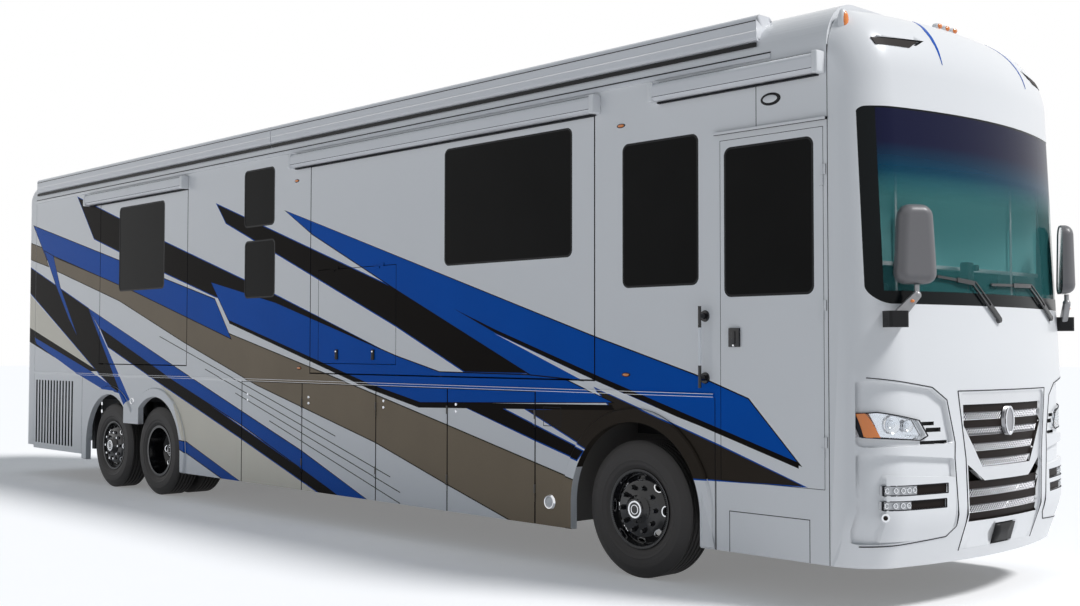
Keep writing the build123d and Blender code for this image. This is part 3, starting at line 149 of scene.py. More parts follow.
# Front outlines as corners of the right half: distance from the middle, height
UPPER_FIELD = ((0.543, 1.349), (0.539, 1.211), (0.335, 0.929))
LOWER_FIELD = ((0.310, 0.836), (0.497, 0.950), (0.477, 0.570))
FIELD_ROW = 0.0525
LENS = ((1.285, 1.300), (1.228, 1.313), (0.958, 1.258), (0.884, 1.156), (0.948, 1.129), (1.271, 1.150))
LAMP_SLOTS = ((0.809, 0.923, 1.222, 1.246), (0.747, 0.883, 1.178, 1.206), (0.689, 0.935, 1.100, 1.122))
LAMP_STRIPS = ((0.715, 1.213, 0.781, 0.843, 5), (0.730, 1.216, 0.688, 0.744, 4))
BADGE = (0.062, 0.100, 1.229)
TOW_COVER = (0.140, 0.387, 0.535)
SCOOP_Z = (3.73, 3.81)
POD_SEAM = ((1.270, 1.533), (0.857, 1.470), (0.722, 1.386), (0.645, 1.105), (0.648, 1.003), (0.607, 0.552),
            (0.682, 0.487), (1.270, 0.446))
SHIELD_SEAM = ((0.612, 1.442), (0.536, 0.996), (0.505, 0.375))
SCOOP = ((1.152, 3.763), (0.762, 3.776), (0.869, 3.716), (1.143, 3.714))
# Blue line on the brow: distance from the middle, height, half width
BROW_LINE = ((0.470, 4.000, 0.004), (0.505, 3.960, 0.014), (0.551, 3.890, 0.018), (0.575, 3.800, 0.013),
             (0.588, 3.700, 0.006), (0.590, 3.630, 0.001))
# Wipers: pivot, elbow and tip as y and z
WIPERS = (((-0.115, 1.920), (-0.407, 2.161), (-0.779, 2.196)),
          ((0.830, 1.950), (0.390, 2.169), (-0.201, 2.158)))

# Wheels: label, whether its disc is dished inwards
WHEELS = (("front", False), ("drive", True), ("tag", False))

# Angles of edges and faces: kept sharp, merged in one plane, and the least turn of a side that takes paint
SHARP_ANGLE = radians(32)
FLAT_ANGLE = 0.01
FLAT_SIDE = 0.9995
PAINTED_SIDE = 0.25
# Widths of seams, and the thickness and slices of the strips laid on the nose
SEAM_W = 0.006
STRIP = (0.006, 0.04)
# Painted arch lips: reach from the axle and lowest height
ARCH_LIP = (0.80, 0.79)
# Windscreen: border at its sides, foot and head, and the heights between which it darkens towards its head:
# painted shadow of the brow on the shade, and a painted dark reflection at the top
SCREEN_BORDER = (0.075, 0.085, 0.012)
BROW_SHADOW_Z = (2.70, 3.07)
# Roller shade: half width, end margin, depth of its bow
SHADE_HALF = 1.14
SHADE_END = 0.03
SHADE_BOW = 0.004
# Amber end of a headlamp: a point on its edge and the way that the edge faces, in y and z
AMBER_EDGE = ((1.238, 1.230), (0.16, -0.05))
LAMP_PITCH = 0.046
SENSOR = (1.206, 0.641)
PORCH_LAMP = (5.864, 3.432)
# Lamps on the skirts: x, z, turned bezel, lens radius and its flattening
SKIRT_LAMPS = (
    (3.676, 0.493, ((0.0, 0.040), (0.014, 0.044), (0.016, 0.052), (0.0, 0.062)), 0.042, 0.35),
    (-3.650, 1.080, ((0.0, 0.026), (0.010, 0.029), (0.012, 0.036), (0.0, 0.042)), 0.028, 0.4),
)
# Mirrors: foot of the head, its depth and width, its turn, the arm's elbow and root, the bracket's top.
# Elbow and root are given as x, distance in from the side, z
MIRROR_FOOT_Z = 2.135
MIRROR_HEAD = (0.100, 0.280)
MIRROR_TURN = radians(35.0)
MIRROR_ELBOW = (6.832, 0.236, 2.065)
MIRROR_ROOT = (6.745, 0.120, 1.910)
BRACKET_TOP_Z = 1.97
# Wheels: radius of the bolt circle and of the hand holes, their number and half sizes
BOLT_R = 0.1675
HAND_HOLE_R = 0.233
HAND_HOLES = 8
HAND_HOLE = (0.028, 0.040)
# Awning cases: length of the end caps, how far the case stops short in them, the line in its face
CASE_END = 0.050
CASE_SHORT = 0.040
CASE_LINE = (0.030, 0.034)
# Seats: the middle of each, and the sides of its pedestal
SEATS = ((0.60, 0.46, 0.74), (-0.42, -0.33, -0.28))
# Stage: where the key light comes from, the colour of the fill, the glow of the floor,
# the camera's place, and its yaw, pitch and roll in degrees
KEY_FROM = (0.60, 0.26, 0.78)
FILL_COLOUR = (0.74, 0.87, 1.0, 1.0)
WHITE = (1.0, 1.0, 1.0, 1.0)
FLOOR_GLOW = 0.21
CAMERA_AT = (11.2722, -8.5414, 1.7145)
CAMERA_TURN = (136.7957, 2.0286, 0.0694)

# Looks: colour or the name of a colour setting, roughness, further settings of the finish
PAINT = dict(grain=900.0, bump=0.01)
FLAKE = dict(grain=1200.0, bump=0.02)
MOULDING = dict(coat=0.8, grain=350.0, bump=0.25, mottle=0.2)
LOOKS = {
    "pearl_white": ("white", 0.32, dict(PAINT, coat=0.25, mottle=0.02)),
    "cobalt_blue": ("blue", 0.28, dict(PAINT, mottle=0.10, specular=0.05)),
    "espresso_black": ("black", 0.28, dict(PAINT, mottle=0.15, specular=0.025)),
    "taupe_metallic": ("taupe", 0.40, dict(FLAKE, metallic=0.35, mottle=0.14, specular=0.07)),
    "brown_metallic": ("brown", 0.36, dict(FLAKE, metallic=0.15, mottle=0.15, specular=0.04)),
    "beige_metallic": ("beige", 0.40, dict(FLAKE, metallic=0.2, mottle=0.05, specular=0.25)),
    # Dark seam lines, and painted shade on the edge faces in the gaps
    "seam_dark": ((0.020, 0.020, 0.024), 0.6, dict(grain=500.0, bump=0.05, specular=0.1)),
    "silver_trim": ((0.74, 0.75, 0.77), 0.30, dict(metallic=0.7, coat=0.3, grain=500.0, bump=0.02)),
    "chrome": ((0.80, 0.81, 0.83), 0.10, dict(metallic=1.0, grain=200.0, bump=0.01, mottle=0.03)),
    "moulded_black": ((0.010, 0.010, 0.011), 0.45, dict(grain=1500.0, bump=0.15, specular=0.2)),
    "dark_recess": ((0.012, 0.008, 0.007), 0.5, dict(grain=700.0, bump=0.05, specular=0.1)),
    "mirror_casing": ((0.150, 0.147, 0.155), 0.36, dict(grain=1800.0, bump=0.20)),
    "arm_grey": ((0.30, 0.30, 0.31), 0.35, dict(metallic=0.5, grain=700.0, bump=0.05)),
    "rubber": ((0.038, 0.035, 0.034), 0.62, dict(grain=420.0, bump=0.12, mottle=0.25, specular=0.4)),
    "gloss_black": ((0.006, 0.006, 0.008), 0.14, dict(grain=200.0, bump=0.01, specular=0.55)),
    "frit_black": ((0.004, 0.006, 0.007), 0.2, dict(grain=600.0, bump=0.02, specular=0.12)),
    "badge_face": ((0.40, 0.40, 0.42), 0.35, dict(metallic=0.6, grain=500.0, bump=0.05)),
    "mesh_metal": ((0.40, 0.40, 0.42), 0.45, dict(metallic=0.8, grain=500.0, bump=0.05)),
    "privacy_glass": ((0.006, 0.006, 0.006), 0.12, dict(grain=3.0, bump=0.02, mottle=0.5, specular=0.06)),
    "chassis_paint": ((0.020, 0.020, 0.022), 0.6, dict(grain=120.0, bump=0.2, mottle=0.3)),
    "floor_board": ((0.16, 0.15, 0.14), 0.7, dict(grain=250.0, bump=0.2, mottle=0.15)),
    "cast_metal": ((0.22, 0.22, 0.22), 0.55, dict(metallic=0.8, grain=160.0, bump=0.4, mottle=0.2)),
    "leather": ((0.24, 0.19, 0.15), 0.5, dict(grain=260.0, bump=0.5, mottle=0.12)),
    "awning_paint": ((0.74, 0.75, 0.78), 0.34, dict(coat=0.3, grain=600.0, bump=0.02, mottle=0.03)),
    "wiper_steel": ((0.035, 0.035, 0.038), 0.28, dict(grain=700.0, bump=0.04)),
    "lamp_bed": ((0.55, 0.56, 0.58), 0.3, dict(metallic=0.3)),
    "milky_lens": ((0.72, 0.73, 0.75), 0.2, dict(coat=0.4, bump=0.1)),
    "clear_rod": ((0.75, 0.78, 0.82), 0.12, dict(coat=0.5)),
    "clear_lens": ((0.92, 0.94, 0.96), 0.06, dict(grain=30.0, bump=0.02, mottle=0.02, clear=1.0)),
    "amber_moulding": ((0.90, 0.22, 0.012), 0.12, MOULDING),
    "red_moulding": ((0.45, 0.008, 0.008), 0.12, MOULDING),
    "pale_floor": ((0.92, 0.92, 0.93), 0.9, dict(grain=3.0, bump=0.0, mottle=0.01, specular=0.0)),
    "shade_cloth": ((0.24, 0.60, 0.60), 0.85, dict(grain=900.0, bump=0.3, mottle=0.05)),
}
FINISHES = {}


class MotorhomeColours(bpy.types.PropertyGroup):
    """Paint and glass colours of the motorhome, with the painted brow shadow and dark reflection on the
    windscreen.
    """

    white: FloatVectorProperty(
        name="White", description="Pearl body paint", subtype="COLOR", default=(0.78, 0.79, 0.81))
    blue: FloatVectorProperty(
        name="Blue", description="Cobalt stripe paint", subtype="COLOR", default=(0.0, 0.090, 0.47))
    black: FloatVectorProperty(
        name="Black", description="Near-black stripe paint", subtype="COLOR", default=(0.009, 0.007, 0.006))
    taupe: FloatVectorProperty(
        name="Taupe", description="Metallic taupe stripe paint", subtype="COLOR",
        default=(0.175, 0.143, 0.104))
    brown: FloatVectorProperty(
        name="Brown", description="Dark paint round the front arch", subtype="COLOR",
        default=(0.028, 0.022, 0.017))
    beige: FloatVectorProperty(
        name="Beige", description="Pale metallic paint of the lower panels", subtype="COLOR",
        default=(0.64, 0.61, 0.53))
    tint: FloatVectorProperty(
        name="Windscreen tint", description="Green of the windscreen glass", subtype="COLOR",
        default=(0.070, 0.300, 0.310))
    # Teal of the painted shadow that the brow casts on the shade behind the windscreen
    blend: FloatVectorProperty(
        name="Band edge", description="Teal where the windscreen starts to darken", subtype="COLOR",
        default=(0.003, 0.060, 0.115))
    # Dark colour at the windscreen's head: painted dark reflection and the deepest part of the painted brow
    # shadow
    band: FloatVectorProperty(
        name="Sun band", description="Dark band at the windscreen's head", subtype="COLOR",
        default=(0.010, 0.012, 0.045))


class MotorhomeSizes(bpy.types.PropertyGroup):
    """Sizes of the painted lines and of the modelled details."""

    edge_line: FloatProperty(
        name="Edge line", description="Width of the line round a stripe", default=0.010, unit="LENGTH")
    pinstripe: FloatProperty(
        name="Pinstripe", description="Width of a pinstripe", default=0.009, unit="LENGTH")
    gasket: FloatProperty(
        name="Gasket", description="Width of the rubber round a side window", default=0.016, unit="LENGTH")
    lattice: FloatProperty(
        name="Lattice", description="Cell of the grille's mesh", default=0.0200, unit="LENGTH")
    wire: FloatProperty(
        name="Wire", description="Thickness of the grille's mesh", default=0.0050, unit="LENGTH")
    groove: FloatProperty(
        name="Groove", description="Depth of the tyre's tread grooves", default=0.014, unit="LENGTH")
    nuts: IntProperty(name="Wheel nuts", description="Nuts on each wheel", default=10, min=5)
    lens: FloatProperty(
        name="Camera lens", description="Focal length of the camera", default=43.53, unit="CAMERA")
    key: FloatProperty(name="Key light", description="Strength of the key light", default=2.70)
    fill: FloatProperty(name="Fill light", description="Strength of the light from all round", default=0.20)


def colours():
    """Colours set on the scene."""
    return bpy.context.scene.motorhome_colours


def sizes():
    """Sizes set on the scene."""
    return bpy.context.scene.motorhome_sizes


# Finishes


def wired(tree, kind, values=(), links=()):
    """New shader node with values set and links made on its inputs."""
    node = tree.nodes.new(f"ShaderNode{kind}")
    for socket, value in dict(values).items():
        node.inputs[socket].default_value = value
    for socket, source in dict(links).items():
        tree.links.new(source, node.inputs[socket])
    return node


def place_of(tree):
    """Object coordinates."""
    return wired(tree, "TexCoord").outputs["Object"]


def noise(tree, scale, detail):
    """Noise on Object coordinates."""
    node = wired(tree, "TexNoise", {"Scale": scale, "Detail": detail}, {"Vector": place_of(tree)})
    return node.outputs["Fac"]


def ramp(tree, source, low, high):
    """Two-stop colour ramp fed by a factor."""
    node = wired(tree, "ValToRGB", links={"Fac": source})
    for stop, colour in zip(node.color_ramp.elements, (low, high)):
        stop.color = (*colour, 1.0)
    return node.outputs["Color"]


def relief(tree, height, strength):
    """Let a height roughen the surface."""
    node = wired(tree, "Bump", {"Strength": strength, "Distance": 0.001}, {"Height": height})
    tree.links.new(node.outputs["Normal"], tree.nodes["Principled BSDF"].inputs["Normal"])


def seen_mask(tree):
    """One for what is seen straight, as a reflection or through glass, and nought for light."""
    path = wired(tree, "LightPath")
    mask = path.outputs["Is Camera Ray"]
    for ray in ("Is Glossy Ray", "Is Transmission Ray"):
        node = wired(tree, "Math", links={0: mask, 1: path.outputs[ray]})
        node.operation = "MAXIMUM"
        mask = node.outputs[0]
    return mask


def finish(name, colour, roughness, metallic=0.0, coat=0.0, grain=300.0, bump=0.03, mottle=0.06, specular=0.5,
           clear=0.0):
    """Procedural finish: mottled colour, uneven gloss and a fine grain."""
    material = bpy.data.materials.new(name)
    material.use_nodes = True
    tree = material.node_tree
    shader = tree.nodes["Principled BSDF"]
    shader.inputs["Metallic"].default_value = metallic
    shader.inputs["Coat Weight"].default_value = coat
    shader.inputs["Coat Roughness"].default_value = 0.04
    shader.inputs["Specular IOR Level"].default_value = specular
    shader.inputs["Transmission Weight"].default_value = clear
    low = [channel * (1.0 - mottle) for channel in colour]
    high = [min(channel * (1.0 + mottle), 1.0) for channel in colour]
    tree.links.new(ramp(tree, noise(tree, 1.6, 5.0), low, high), shader.inputs["Base Color"])
    fine = noise(tree, grain, 3.0)
    spread = {"To Min": max(roughness - 0.06, 0.02), "To Max": min(roughness + 0.06, 1.0)}
    gloss = wired(tree, "MapRange", spread, {"Value": fine})
    tree.links.new(gloss.outputs["Result"], shader.inputs["Roughness"])
    relief(tree, fine, bump)
    return material


def look(name):
    """Finish from the table of looks, made once."""
    if name not in FINISHES:
        colour, roughness, settings = LOOKS[name]
        if isinstance(colour, str):
            colour = getattr(colours(), colour)
        FINISHES[name] = finish(name, colour, roughness, **settings)
    return FINISHES[name]


def looks(*names):
    """Finishes for the material numbers of a piece."""
    return [look(name) for name in names]


def windscreen_glass():
    """Green tinted glass with painted shade: towards its head it darkens and covers more of the shade behind,
    standing for the brow's shadow and a dark reflection.
    """
    material = bpy.data.materials.new("windscreen_glass")
    material.use_nodes = True
    tree = material.node_tree
    shader = tree.nodes["Principled BSDF"]
    shader.inputs["Roughness"].default_value = 0.03
    shader.inputs["IOR"].default_value = 1.18
    split = wired(tree, "SeparateXYZ", links={"Vector": place_of(tree)})
    limits = {"From Min": BROW_SHADOW_Z[0], "From Max": BROW_SHADOW_Z[1]}
    height = wired(tree, "MapRange", limits, {"Value": split.outputs["Z"]}).outputs["Result"]
    tint = ramp(tree, height, colours().tint, colours().band)
    tint.node.color_ramp.elements.new(0.50).color = (*colours().blend, 1.0)
    tree.links.new(tint, shader.inputs["Base Color"])
    # More cover towards the head hides the shade behind: part of the painted brow shadow
    cover = wired(tree, "MapRange", {"From Max": 0.6, "To Min": 0.30, "To Max": 0.90}, {"Value": height})
    tree.links.new(cover.outputs["Result"], shader.inputs["Alpha"])
    return material


def pale_floor():
    """Pale floor that the camera sees as white outside the shadow."""
    material = look("pale_floor")
    tree = material.node_tree
    level = wired(tree, "Math", {1: FLOOR_GLOW}, {0: seen_mask(tree)})
    level.operation = "MULTIPLY"
    shader = tree.nodes["Principled BSDF"]
    shader.inputs["Emission Color"].default_value = WHITE
    tree.links.new(level.outputs[0], shader.inputs["Emission Strength"])
    return material


def shade_cloth():
    """Woven roller shade cloth."""
    material = look("shade_cloth")
    tree = material.node_tree
    weave = wired(tree, "TexWave", {"Scale": 220.0}, {"Vector": place_of(tree)})
    weave.bands_direction = "Z"
    relief(tree, weave.outputs["Fac"], 0.3)
    return material


# Mesh helpers


def node_copy(node):
    """Merged copy of a solid's mesh."""
    bm = bmesh.new()
    bm.from_mesh(frame["nodes"][node].data)
    bmesh.ops.remove_doubles(bm, verts=bm.verts, dist=1e-5)
    return bm


def outer_y(node, side):
    """Outermost y of a solid on one side."""
    low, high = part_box(node)
    return high.y if side > 0 else low.y


def middle_x(node):
    """Middle of a solid along the coach."""
    low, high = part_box(node)
    return (low.x + high.x) / 2


def shade_nose(mesh):
    """Give faces that follow the nose its own normals."""
    normals = []
    for face in mesh.polygons:
        spots = [mesh.vertices[index].co for index in face.vertices]
        depths = [nose_depth(spot) for spot in spots]
        heights = [spot.z for spot in spots]
        creased = NOSE_CREASE[0] - 0.03 < min(heights) and max(heights) < NOSE_CREASE[1] + 0.03
        even = max(depths) - min(depths) < (0.004 if creased else 0.0015)
        on_nose = even and max(heights) < 3.45 and depths[0] < 0.08
        for spot in spots:
            normals.append(nose_normal(spot) if on_nose else (0.0, 0.0, 0.0))
    mesh.normals_split_custom_set(normals)


def piece(name, bm, finishes, body="coach", replaces=(), shading="plain"):
    """Make a finished object of a bmesh, riding on a body."""
    mesh = bpy.data.meshes.new(name)
    bm.to_mesh(mesh)
    bm.free()
    for material in finishes:
        mesh.materials.append(material)
    mesh.shade_smooth()
    mesh.set_sharp_from_angle(angle=SHARP_ANGLE)
    if shading == "walls":
        for face in mesh.polygons:
            face.use_smooth = abs(face.normal.y) < FLAT_SIDE
    if shading == "nose":
        shade_nose(mesh)
    obj = bpy.data.objects.new(name, mesh)
    bpy.context.scene.collection.objects.link(obj)
    if shading in ("panel", "walls"):
        weighted = obj.modifiers.new("panel_normals", "WEIGHTED_NORMAL")
        weighted.mode = "FACE_AREA"
        weighted.weight = 100
        weighted.keep_sharp = True
    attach(obj, body)
    if replaces:
        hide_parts(*replaces)
    return obj


def dress(node, bm, finishes, prefix="finished", shading="panel"):
    """Let a bmesh stand for one solid."""
    return piece(f"{prefix}_{node}", bm, finishes, BODY_OF[node], (node,), shading)


def join(bm, other, place=None):
    """Move a finished bmesh into another, put in its place."""
    if place is not None:
        bmesh.ops.transform(other, matrix=place, verts=other.verts[:])
    mesh = bpy.data.meshes.new("part")
    other.to_mesh(mesh)
    other.free()
    bm.from_mesh(mesh)
    bpy.data.meshes.remove(mesh)


def islands(bm):
    """Boxes of the separate solids in a mesh, as low and high corners."""
    left = set(bm.verts)
    boxes = []
    while left:
        group, edge = set(), [next(iter(left))]
        while edge:
            vert = edge.pop()
            if vert not in group:
                group.add(vert)
                edge += [link.other_vert(vert) for link in vert.link_edges]
        left -= group
        low = Vector(min(vert.co[i] for vert in group) for i in range(3))
        high = Vector(max(vert.co[i] for vert in group) for i in range(3))
        boxes.append((low, high))
    return sorted(boxes, key=lambda box: tuple(box[0]))


def made_since(bm, before):
    """Faces made since a set was taken."""
    return [face for face in bm.faces if face not in before]


def number_new(bm, before, number):
    """Give a material number to the faces made since a set was taken."""
    for face in made_since(bm, before):
        face.material_index = number


def parts_of(faces):
    """Faces with their edges and corners, to cut."""
    edges = {edge for face in faces for edge in face.edges}
    verts = {vert for face in faces for vert in face.verts}
    return [*faces, *edges, *verts]


def cut(bm, at, normal, **settings):
    """Cut a whole mesh along a plane."""
    geom = bm.verts[:] + bm.edges[:] + bm.faces[:]
    bmesh.ops.bisect_plane(bm, geom=geom, plane_co=at, plane_no=normal, **settings)


def slice_along(bm, axis, low, high, count):
    """Cut a mesh into slices so that it can follow a curve."""
    for step in range(1, count):
        cut(bm, Vector(axis) * (low + (high - low) * step / count), axis)


def merge_flat(bm, delimit=()):
    """Merge neighbouring faces in one plane."""
    bmesh.ops.dissolve_limit(bm, angle_limit=FLAT_ANGLE, verts=bm.verts[:], edges=bm.edges[:],
                             delimit=set(delimit))


def bevel(bm, edges, offset, segments):
    """Round edges off."""
    bmesh.ops.bevel(bm, geom=edges, offset=offset, offset_type="OFFSET", segments=segments, profile=0.5,
                    affect="EDGES", material=-1)


def outward(bm):
    """Point all faces outwards."""
    bmesh.ops.recalc_face_normals(bm, faces=bm.faces[:])


def block(bm, low, high, round_r=0.0, segments=3, number=0):
    """Box between two corners with rounded edges."""
    before = set(bm.faces)
    low, high = Vector(map(min, low, high)), Vector(map(max, low, high))
    place = Matrix.Translation((low + high) / 2) @ Matrix.Diagonal((*(high - low), 1.0))
    made = bmesh.ops.create_cube(bm, size=1.0, matrix=place)
    if round_r:
        bevel(bm, list({edge for vert in made["verts"] for edge in vert.link_edges}), round_r, segments)
    number_new(bm, before, number)


def drum(bm, start, end, radius, top=None, segments=24, number=0):
    """Round bar or cone between two points."""
    before = set(bm.faces)
    line = Vector(end) - Vector(start)
    turn = line.to_track_quat("Z", "Y").to_matrix().to_4x4()
    place = Matrix.Translation((Vector(start) + Vector(end)) / 2) @ turn
    bmesh.ops.create_cone(bm, cap_ends=True, segments=segments, radius1=radius,
                          radius2=radius if top is None else top, depth=line.length, matrix=place)
    number_new(bm, before, number)


def ball(bm, centre, radius, squash=(1.0, 1.0, 1.0), number=0, segments=20):
    """Ball or flattened dome."""
    before = set(bm.faces)
    place = Matrix.Translation(centre) @ Matrix.Diagonal((*squash, 1.0))
    bmesh.ops.create_uvsphere(bm, u_segments=segments, v_segments=segments // 2, radius=radius, matrix=place)
    number_new(bm, before, number)


def ring(bm, centre, axis, points, steps=48, number=0):
    """Turn a closed outline of (along, radius) points about an axis."""
    before = set(bm.faces)
    axis = Vector(axis).normalized()
    out = axis.orthogonal().normalized()
    verts = [bm.verts.new(Vector(centre) + axis * along + out * radius) for along, radius in points]
    edges = [bm.edges.new(pair) for pair in pairs(verts)]
    bmesh.ops.spin(bm, geom=verts + edges, cent=centre, axis=axis, angle=2 * pi, steps=steps, use_merge=True)
    verts = {vert for face in made_since(bm, before) for vert in face.verts}
    bmesh.ops.remove_doubles(bm, verts=list(verts), dist=1e-6)
    bmesh.ops.recalc_face_normals(bm, faces=made_since(bm, before))
    number_new(bm, before, number)


def plate(bm, corners, thick, number=0):
    """Flat plate with corners in y and z, from x 0 back to its thickness."""
    before = set(bm.faces)
    face = bm.faces.new([bm.verts.new((0.0, y, z)) for y, z in corners])
    made = bmesh.ops.extrude_face_region(bm, geom=[face])
    moved = [item for item in made["geom"] if isinstance(item, bmesh.types.BMVert)]
    bmesh.ops.translate(bm, vec=(-thick, 0.0, 0.0), verts=moved)
    bmesh.ops.recalc_face_normals(bm, faces=made_since(bm, before))
    number_new(bm, before, number)


def oval_band(place, segments, width, thick):
    """Thin band round an oval."""
    bm = bmesh.new()
    bmesh.ops.create_circle(bm, cap_ends=True, segments=segments, radius=1.0, matrix=place)
    rim = bmesh.ops.inset_region(bm, faces=bm.faces[:], thickness=width, use_even_offset=True,
                                 use_boundary=True)
    keep = set(rim["faces"])
    bmesh.ops.delete(bm, geom=[face for face in bm.faces if face not in keep], context="FACES")
    bmesh.ops.solidify(bm, geom=bm.faces[:], thickness=thick)
    return bm


# Form of the nose


def profile_x(z):
    """Foremost x of the nose at a height, below its brow."""
    foot_low, foot_high, foot_back = NOSE_FOOT
    rake_z, rake_back = NOSE_RAKE
    if z < foot_high:
        return NOSE_X - foot_back * (foot_high - z) / (foot_high - foot_low)
    if z < rake_z:
        return NOSE_X
    brow_z, brow_r = BROW
    if z > brow_z:
        return profile_x(brow_z) - brow_r + sqrt(max(brow_r**2 - (z - brow_z) ** 2, 0.0))
    return NOSE_X - rake_back * (z - rake_z) / (ROOF_Z - rake_z)


def nose_corner(z):
    """Radius of the nose's plan at a height, and the centre of its rounded corner."""
    radius = profile_x(z) - NOSE_AXIS_X
    corner_y = SIDE_Y - NOSE_CORNER_R
    corner_x = NOSE_AXIS_X + sqrt((radius - NOSE_CORNER_R) ** 2 - corner_y**2)
    return radius, corner_x, corner_y


def nose_x(y, z, inset=0.0):
    """Place of the nose's outer face at a width and height."""
    radius, corner_x, corner_y = nose_corner(z)
    meet = corner_y * radius / (radius - NOSE_CORNER_R)
    if abs(y) <= meet:
        return NOSE_AXIS_X + sqrt((radius - inset) ** 2 - y * y)
    reach = (NOSE_CORNER_R - inset) ** 2 - (abs(y) - corner_y) ** 2
    return corner_x + sqrt(max(reach, 0.0))


def nose_arc(point):
    """Centre and radius, in plan, of the arc that a point of the nose lies on."""
    radius, corner_x, corner_y = nose_corner(point.z)
    if abs(point.y) * (radius - NOSE_CORNER_R) <= corner_y * hypot(point.x - NOSE_AXIS_X, point.y):
        return NOSE_AXIS_X, 0.0, radius
    return corner_x, (corner_y if point.y > 0 else -corner_y), NOSE_CORNER_R


def nose_normal(point):
    """Outward direction of the nose at a point."""
    foot_low, foot_high, foot_back = NOSE_FOOT
    crease_low, crease_high = NOSE_CREASE
    rake_z, rake_back = NOSE_RAKE
    share = min(max((crease_high - point.z) / (crease_high - crease_low), 0.0), 1.0)
    slope = share * foot_back / (foot_high - foot_low)
    if point.z > rake_z:
        slope = -rake_back / (ROOF_Z - rake_z)
    x, y, _ = nose_arc(point)
    out = Vector((point.x - x, point.y - y)).normalized()
    return Vector((out.x, out.y, -slope)).normalized()


def nose_depth(point):
    """Depth of a point below the nose's outer face."""
    x, y, radius = nose_arc(point)
    return radius - hypot(point.x - x, point.y - y)


def drape(bm, inset=0.0):
    """Lay a flat mesh, drawn at x 0, on the nose."""
    for vert in bm.verts:
        vert.co.x += nose_x(vert.co.y, vert.co.z, inset)


# Outlines


def pairs(points):
    """Neighbouring points round a closed outline."""
    points = list(points)
    return zip(points, points[1:] + points[:1])


def extent(corners):
    """Least and greatest values of an outline both ways."""
    us, vs = zip(*corners)
    return min(us), max(us), min(vs), max(vs)


def on_side(side, corners):
    """Outline of the right half put on one side of the nose."""
    return [(side * y, z) for y, z in corners]


def mirrored_outline(half):
    """Closed outline from the corners of one half."""
    return on_side(1, half) + on_side(-1, reversed(half))


def inside(corners, u, v):
    """Whether a point lies inside a closed outline."""
    found = False
    for (u0, v0), (u1, v1) in pairs(corners):
        if (v0 > v) != (v1 > v) and u < (u1 - u0) * (v - v0) / (v1 - v0) + u0:
            found = not found
    return found


def grown(corners, width):
    """Outline moved outwards by a width, with its sharp tips kept short."""
    points = [Vector(corner) for corner in corners]
    turn = 1.0 if sum(a.x * b.y - b.x * a.y for a, b in pairs(points)) > 0 else -1.0
    out = []
    for before, (here, after) in zip(points[-1:] + points[:-1], pairs(points)):
        into = (here - before).normalized()
        away = (after - here).normalized()
        first = Vector((into.y, -into.x)) * turn
        middle = (first + Vector((away.y, -away.x)) * turn).normalized()
        out.append(tuple(here + middle * width / max(middle.dot(first), 0.3)))
    return out


def band(start, end, width):
    """Thin outline along a line."""
    line = Vector(end) - Vector(start)
    across = Vector((-line.y, line.x)).normalized() * width / 2
    return [tuple(Vector(p) + across * s) for p, s in ((start, 1), (end, 1), (end, -1), (start, -1))]


# Paint scheme


def paint_list():
    """Outlines of the whole scheme in the order they are laid on, with their paint numbers."""
    number = PAINT_ORDER.index
    rows = []
    for paint, edge, corners in STRIPES:
        if edge:
            rows.append((number(edge), grown(corners, sizes().edge_line)))
        rows.append((number(paint), list(corners)))
    rows += [(number("black"), band(start, end, sizes().pinstripe)) for start, end in PINSTRIPES]
    rows += [(number("seam"), band(start, end, SEAM_W)) for start, end in PANEL_LINES]
    return rows


def lay_paint(bm, side, corners, number):
    """Cut the faces of one side along an outline and paint what lies inside it."""
    x_low, x_high, z_low, z_high = extent(corners)
    faces = []
    for face in bm.faces:
        if face.normal.y * side < PAINTED_SIDE:
            continue
        xs = [vert.co.x for vert in face.verts]
        zs = [vert.co.z for vert in face.verts]
        if max(xs) > x_low and min(xs) < x_high and max(zs) > z_low and min(zs) < z_high:
            faces.append(face)
    for (x0, z0), (x1, z1) in pairs(corners):
        if not faces:
            return
        made = bmesh.ops.bisect_plane(bm, geom=parts_of(faces), dist=1e-5, plane_co=(x0, 0.0, z0),
                                      plane_no=(z0 - z1, 0.0, x1 - x0))
        faces = [item for item in made["geom"] if isinstance(item, bmesh.types.BMFace)]
    for face in faces:
        centre = face.calc_center_median()
        if inside(corners, centre.x, centre.z):
            face.material_index = number


def paint_edges(node, bm):
    """Paint shade on the edge faces of doors, rooms, wall openings and skirt ends, where the gaps fall in
    shadow, and colour the front arch lips.
    """
    number = PAINT_ORDER.index
    axles = [middle_x(f"{name}_right_tyre") for name, _ in WHEELS]
    lip_reach, lip_low = ARCH_LIP
    for face in bm.faces:
        if abs(face.normal.y) > PAINTED_SIDE:
            continue
        centre = face.calc_center_median()
        facing_ends = abs(face.normal.x) > 0.9
        if node == "side_skirts":
            reach = [hypot(centre.x - axle, centre.z - TYRE_R) for axle in axles]
            if reach[0] < lip_reach and centre.z > lip_low:
                face.material_index = number("brown")
            # Skirt ends away from the arches take painted gap shade
            elif facing_ends and min(reach) > lip_reach:
                face.material_index = number("seam")
        elif node == "belt_rails":
            if facing_ends:
                face.material_index = number("blue")
        # Edge faces of doors, rooms and openings: painted shade in the gaps
        elif node != "rear_cap":
            face.material_index = number("seam")


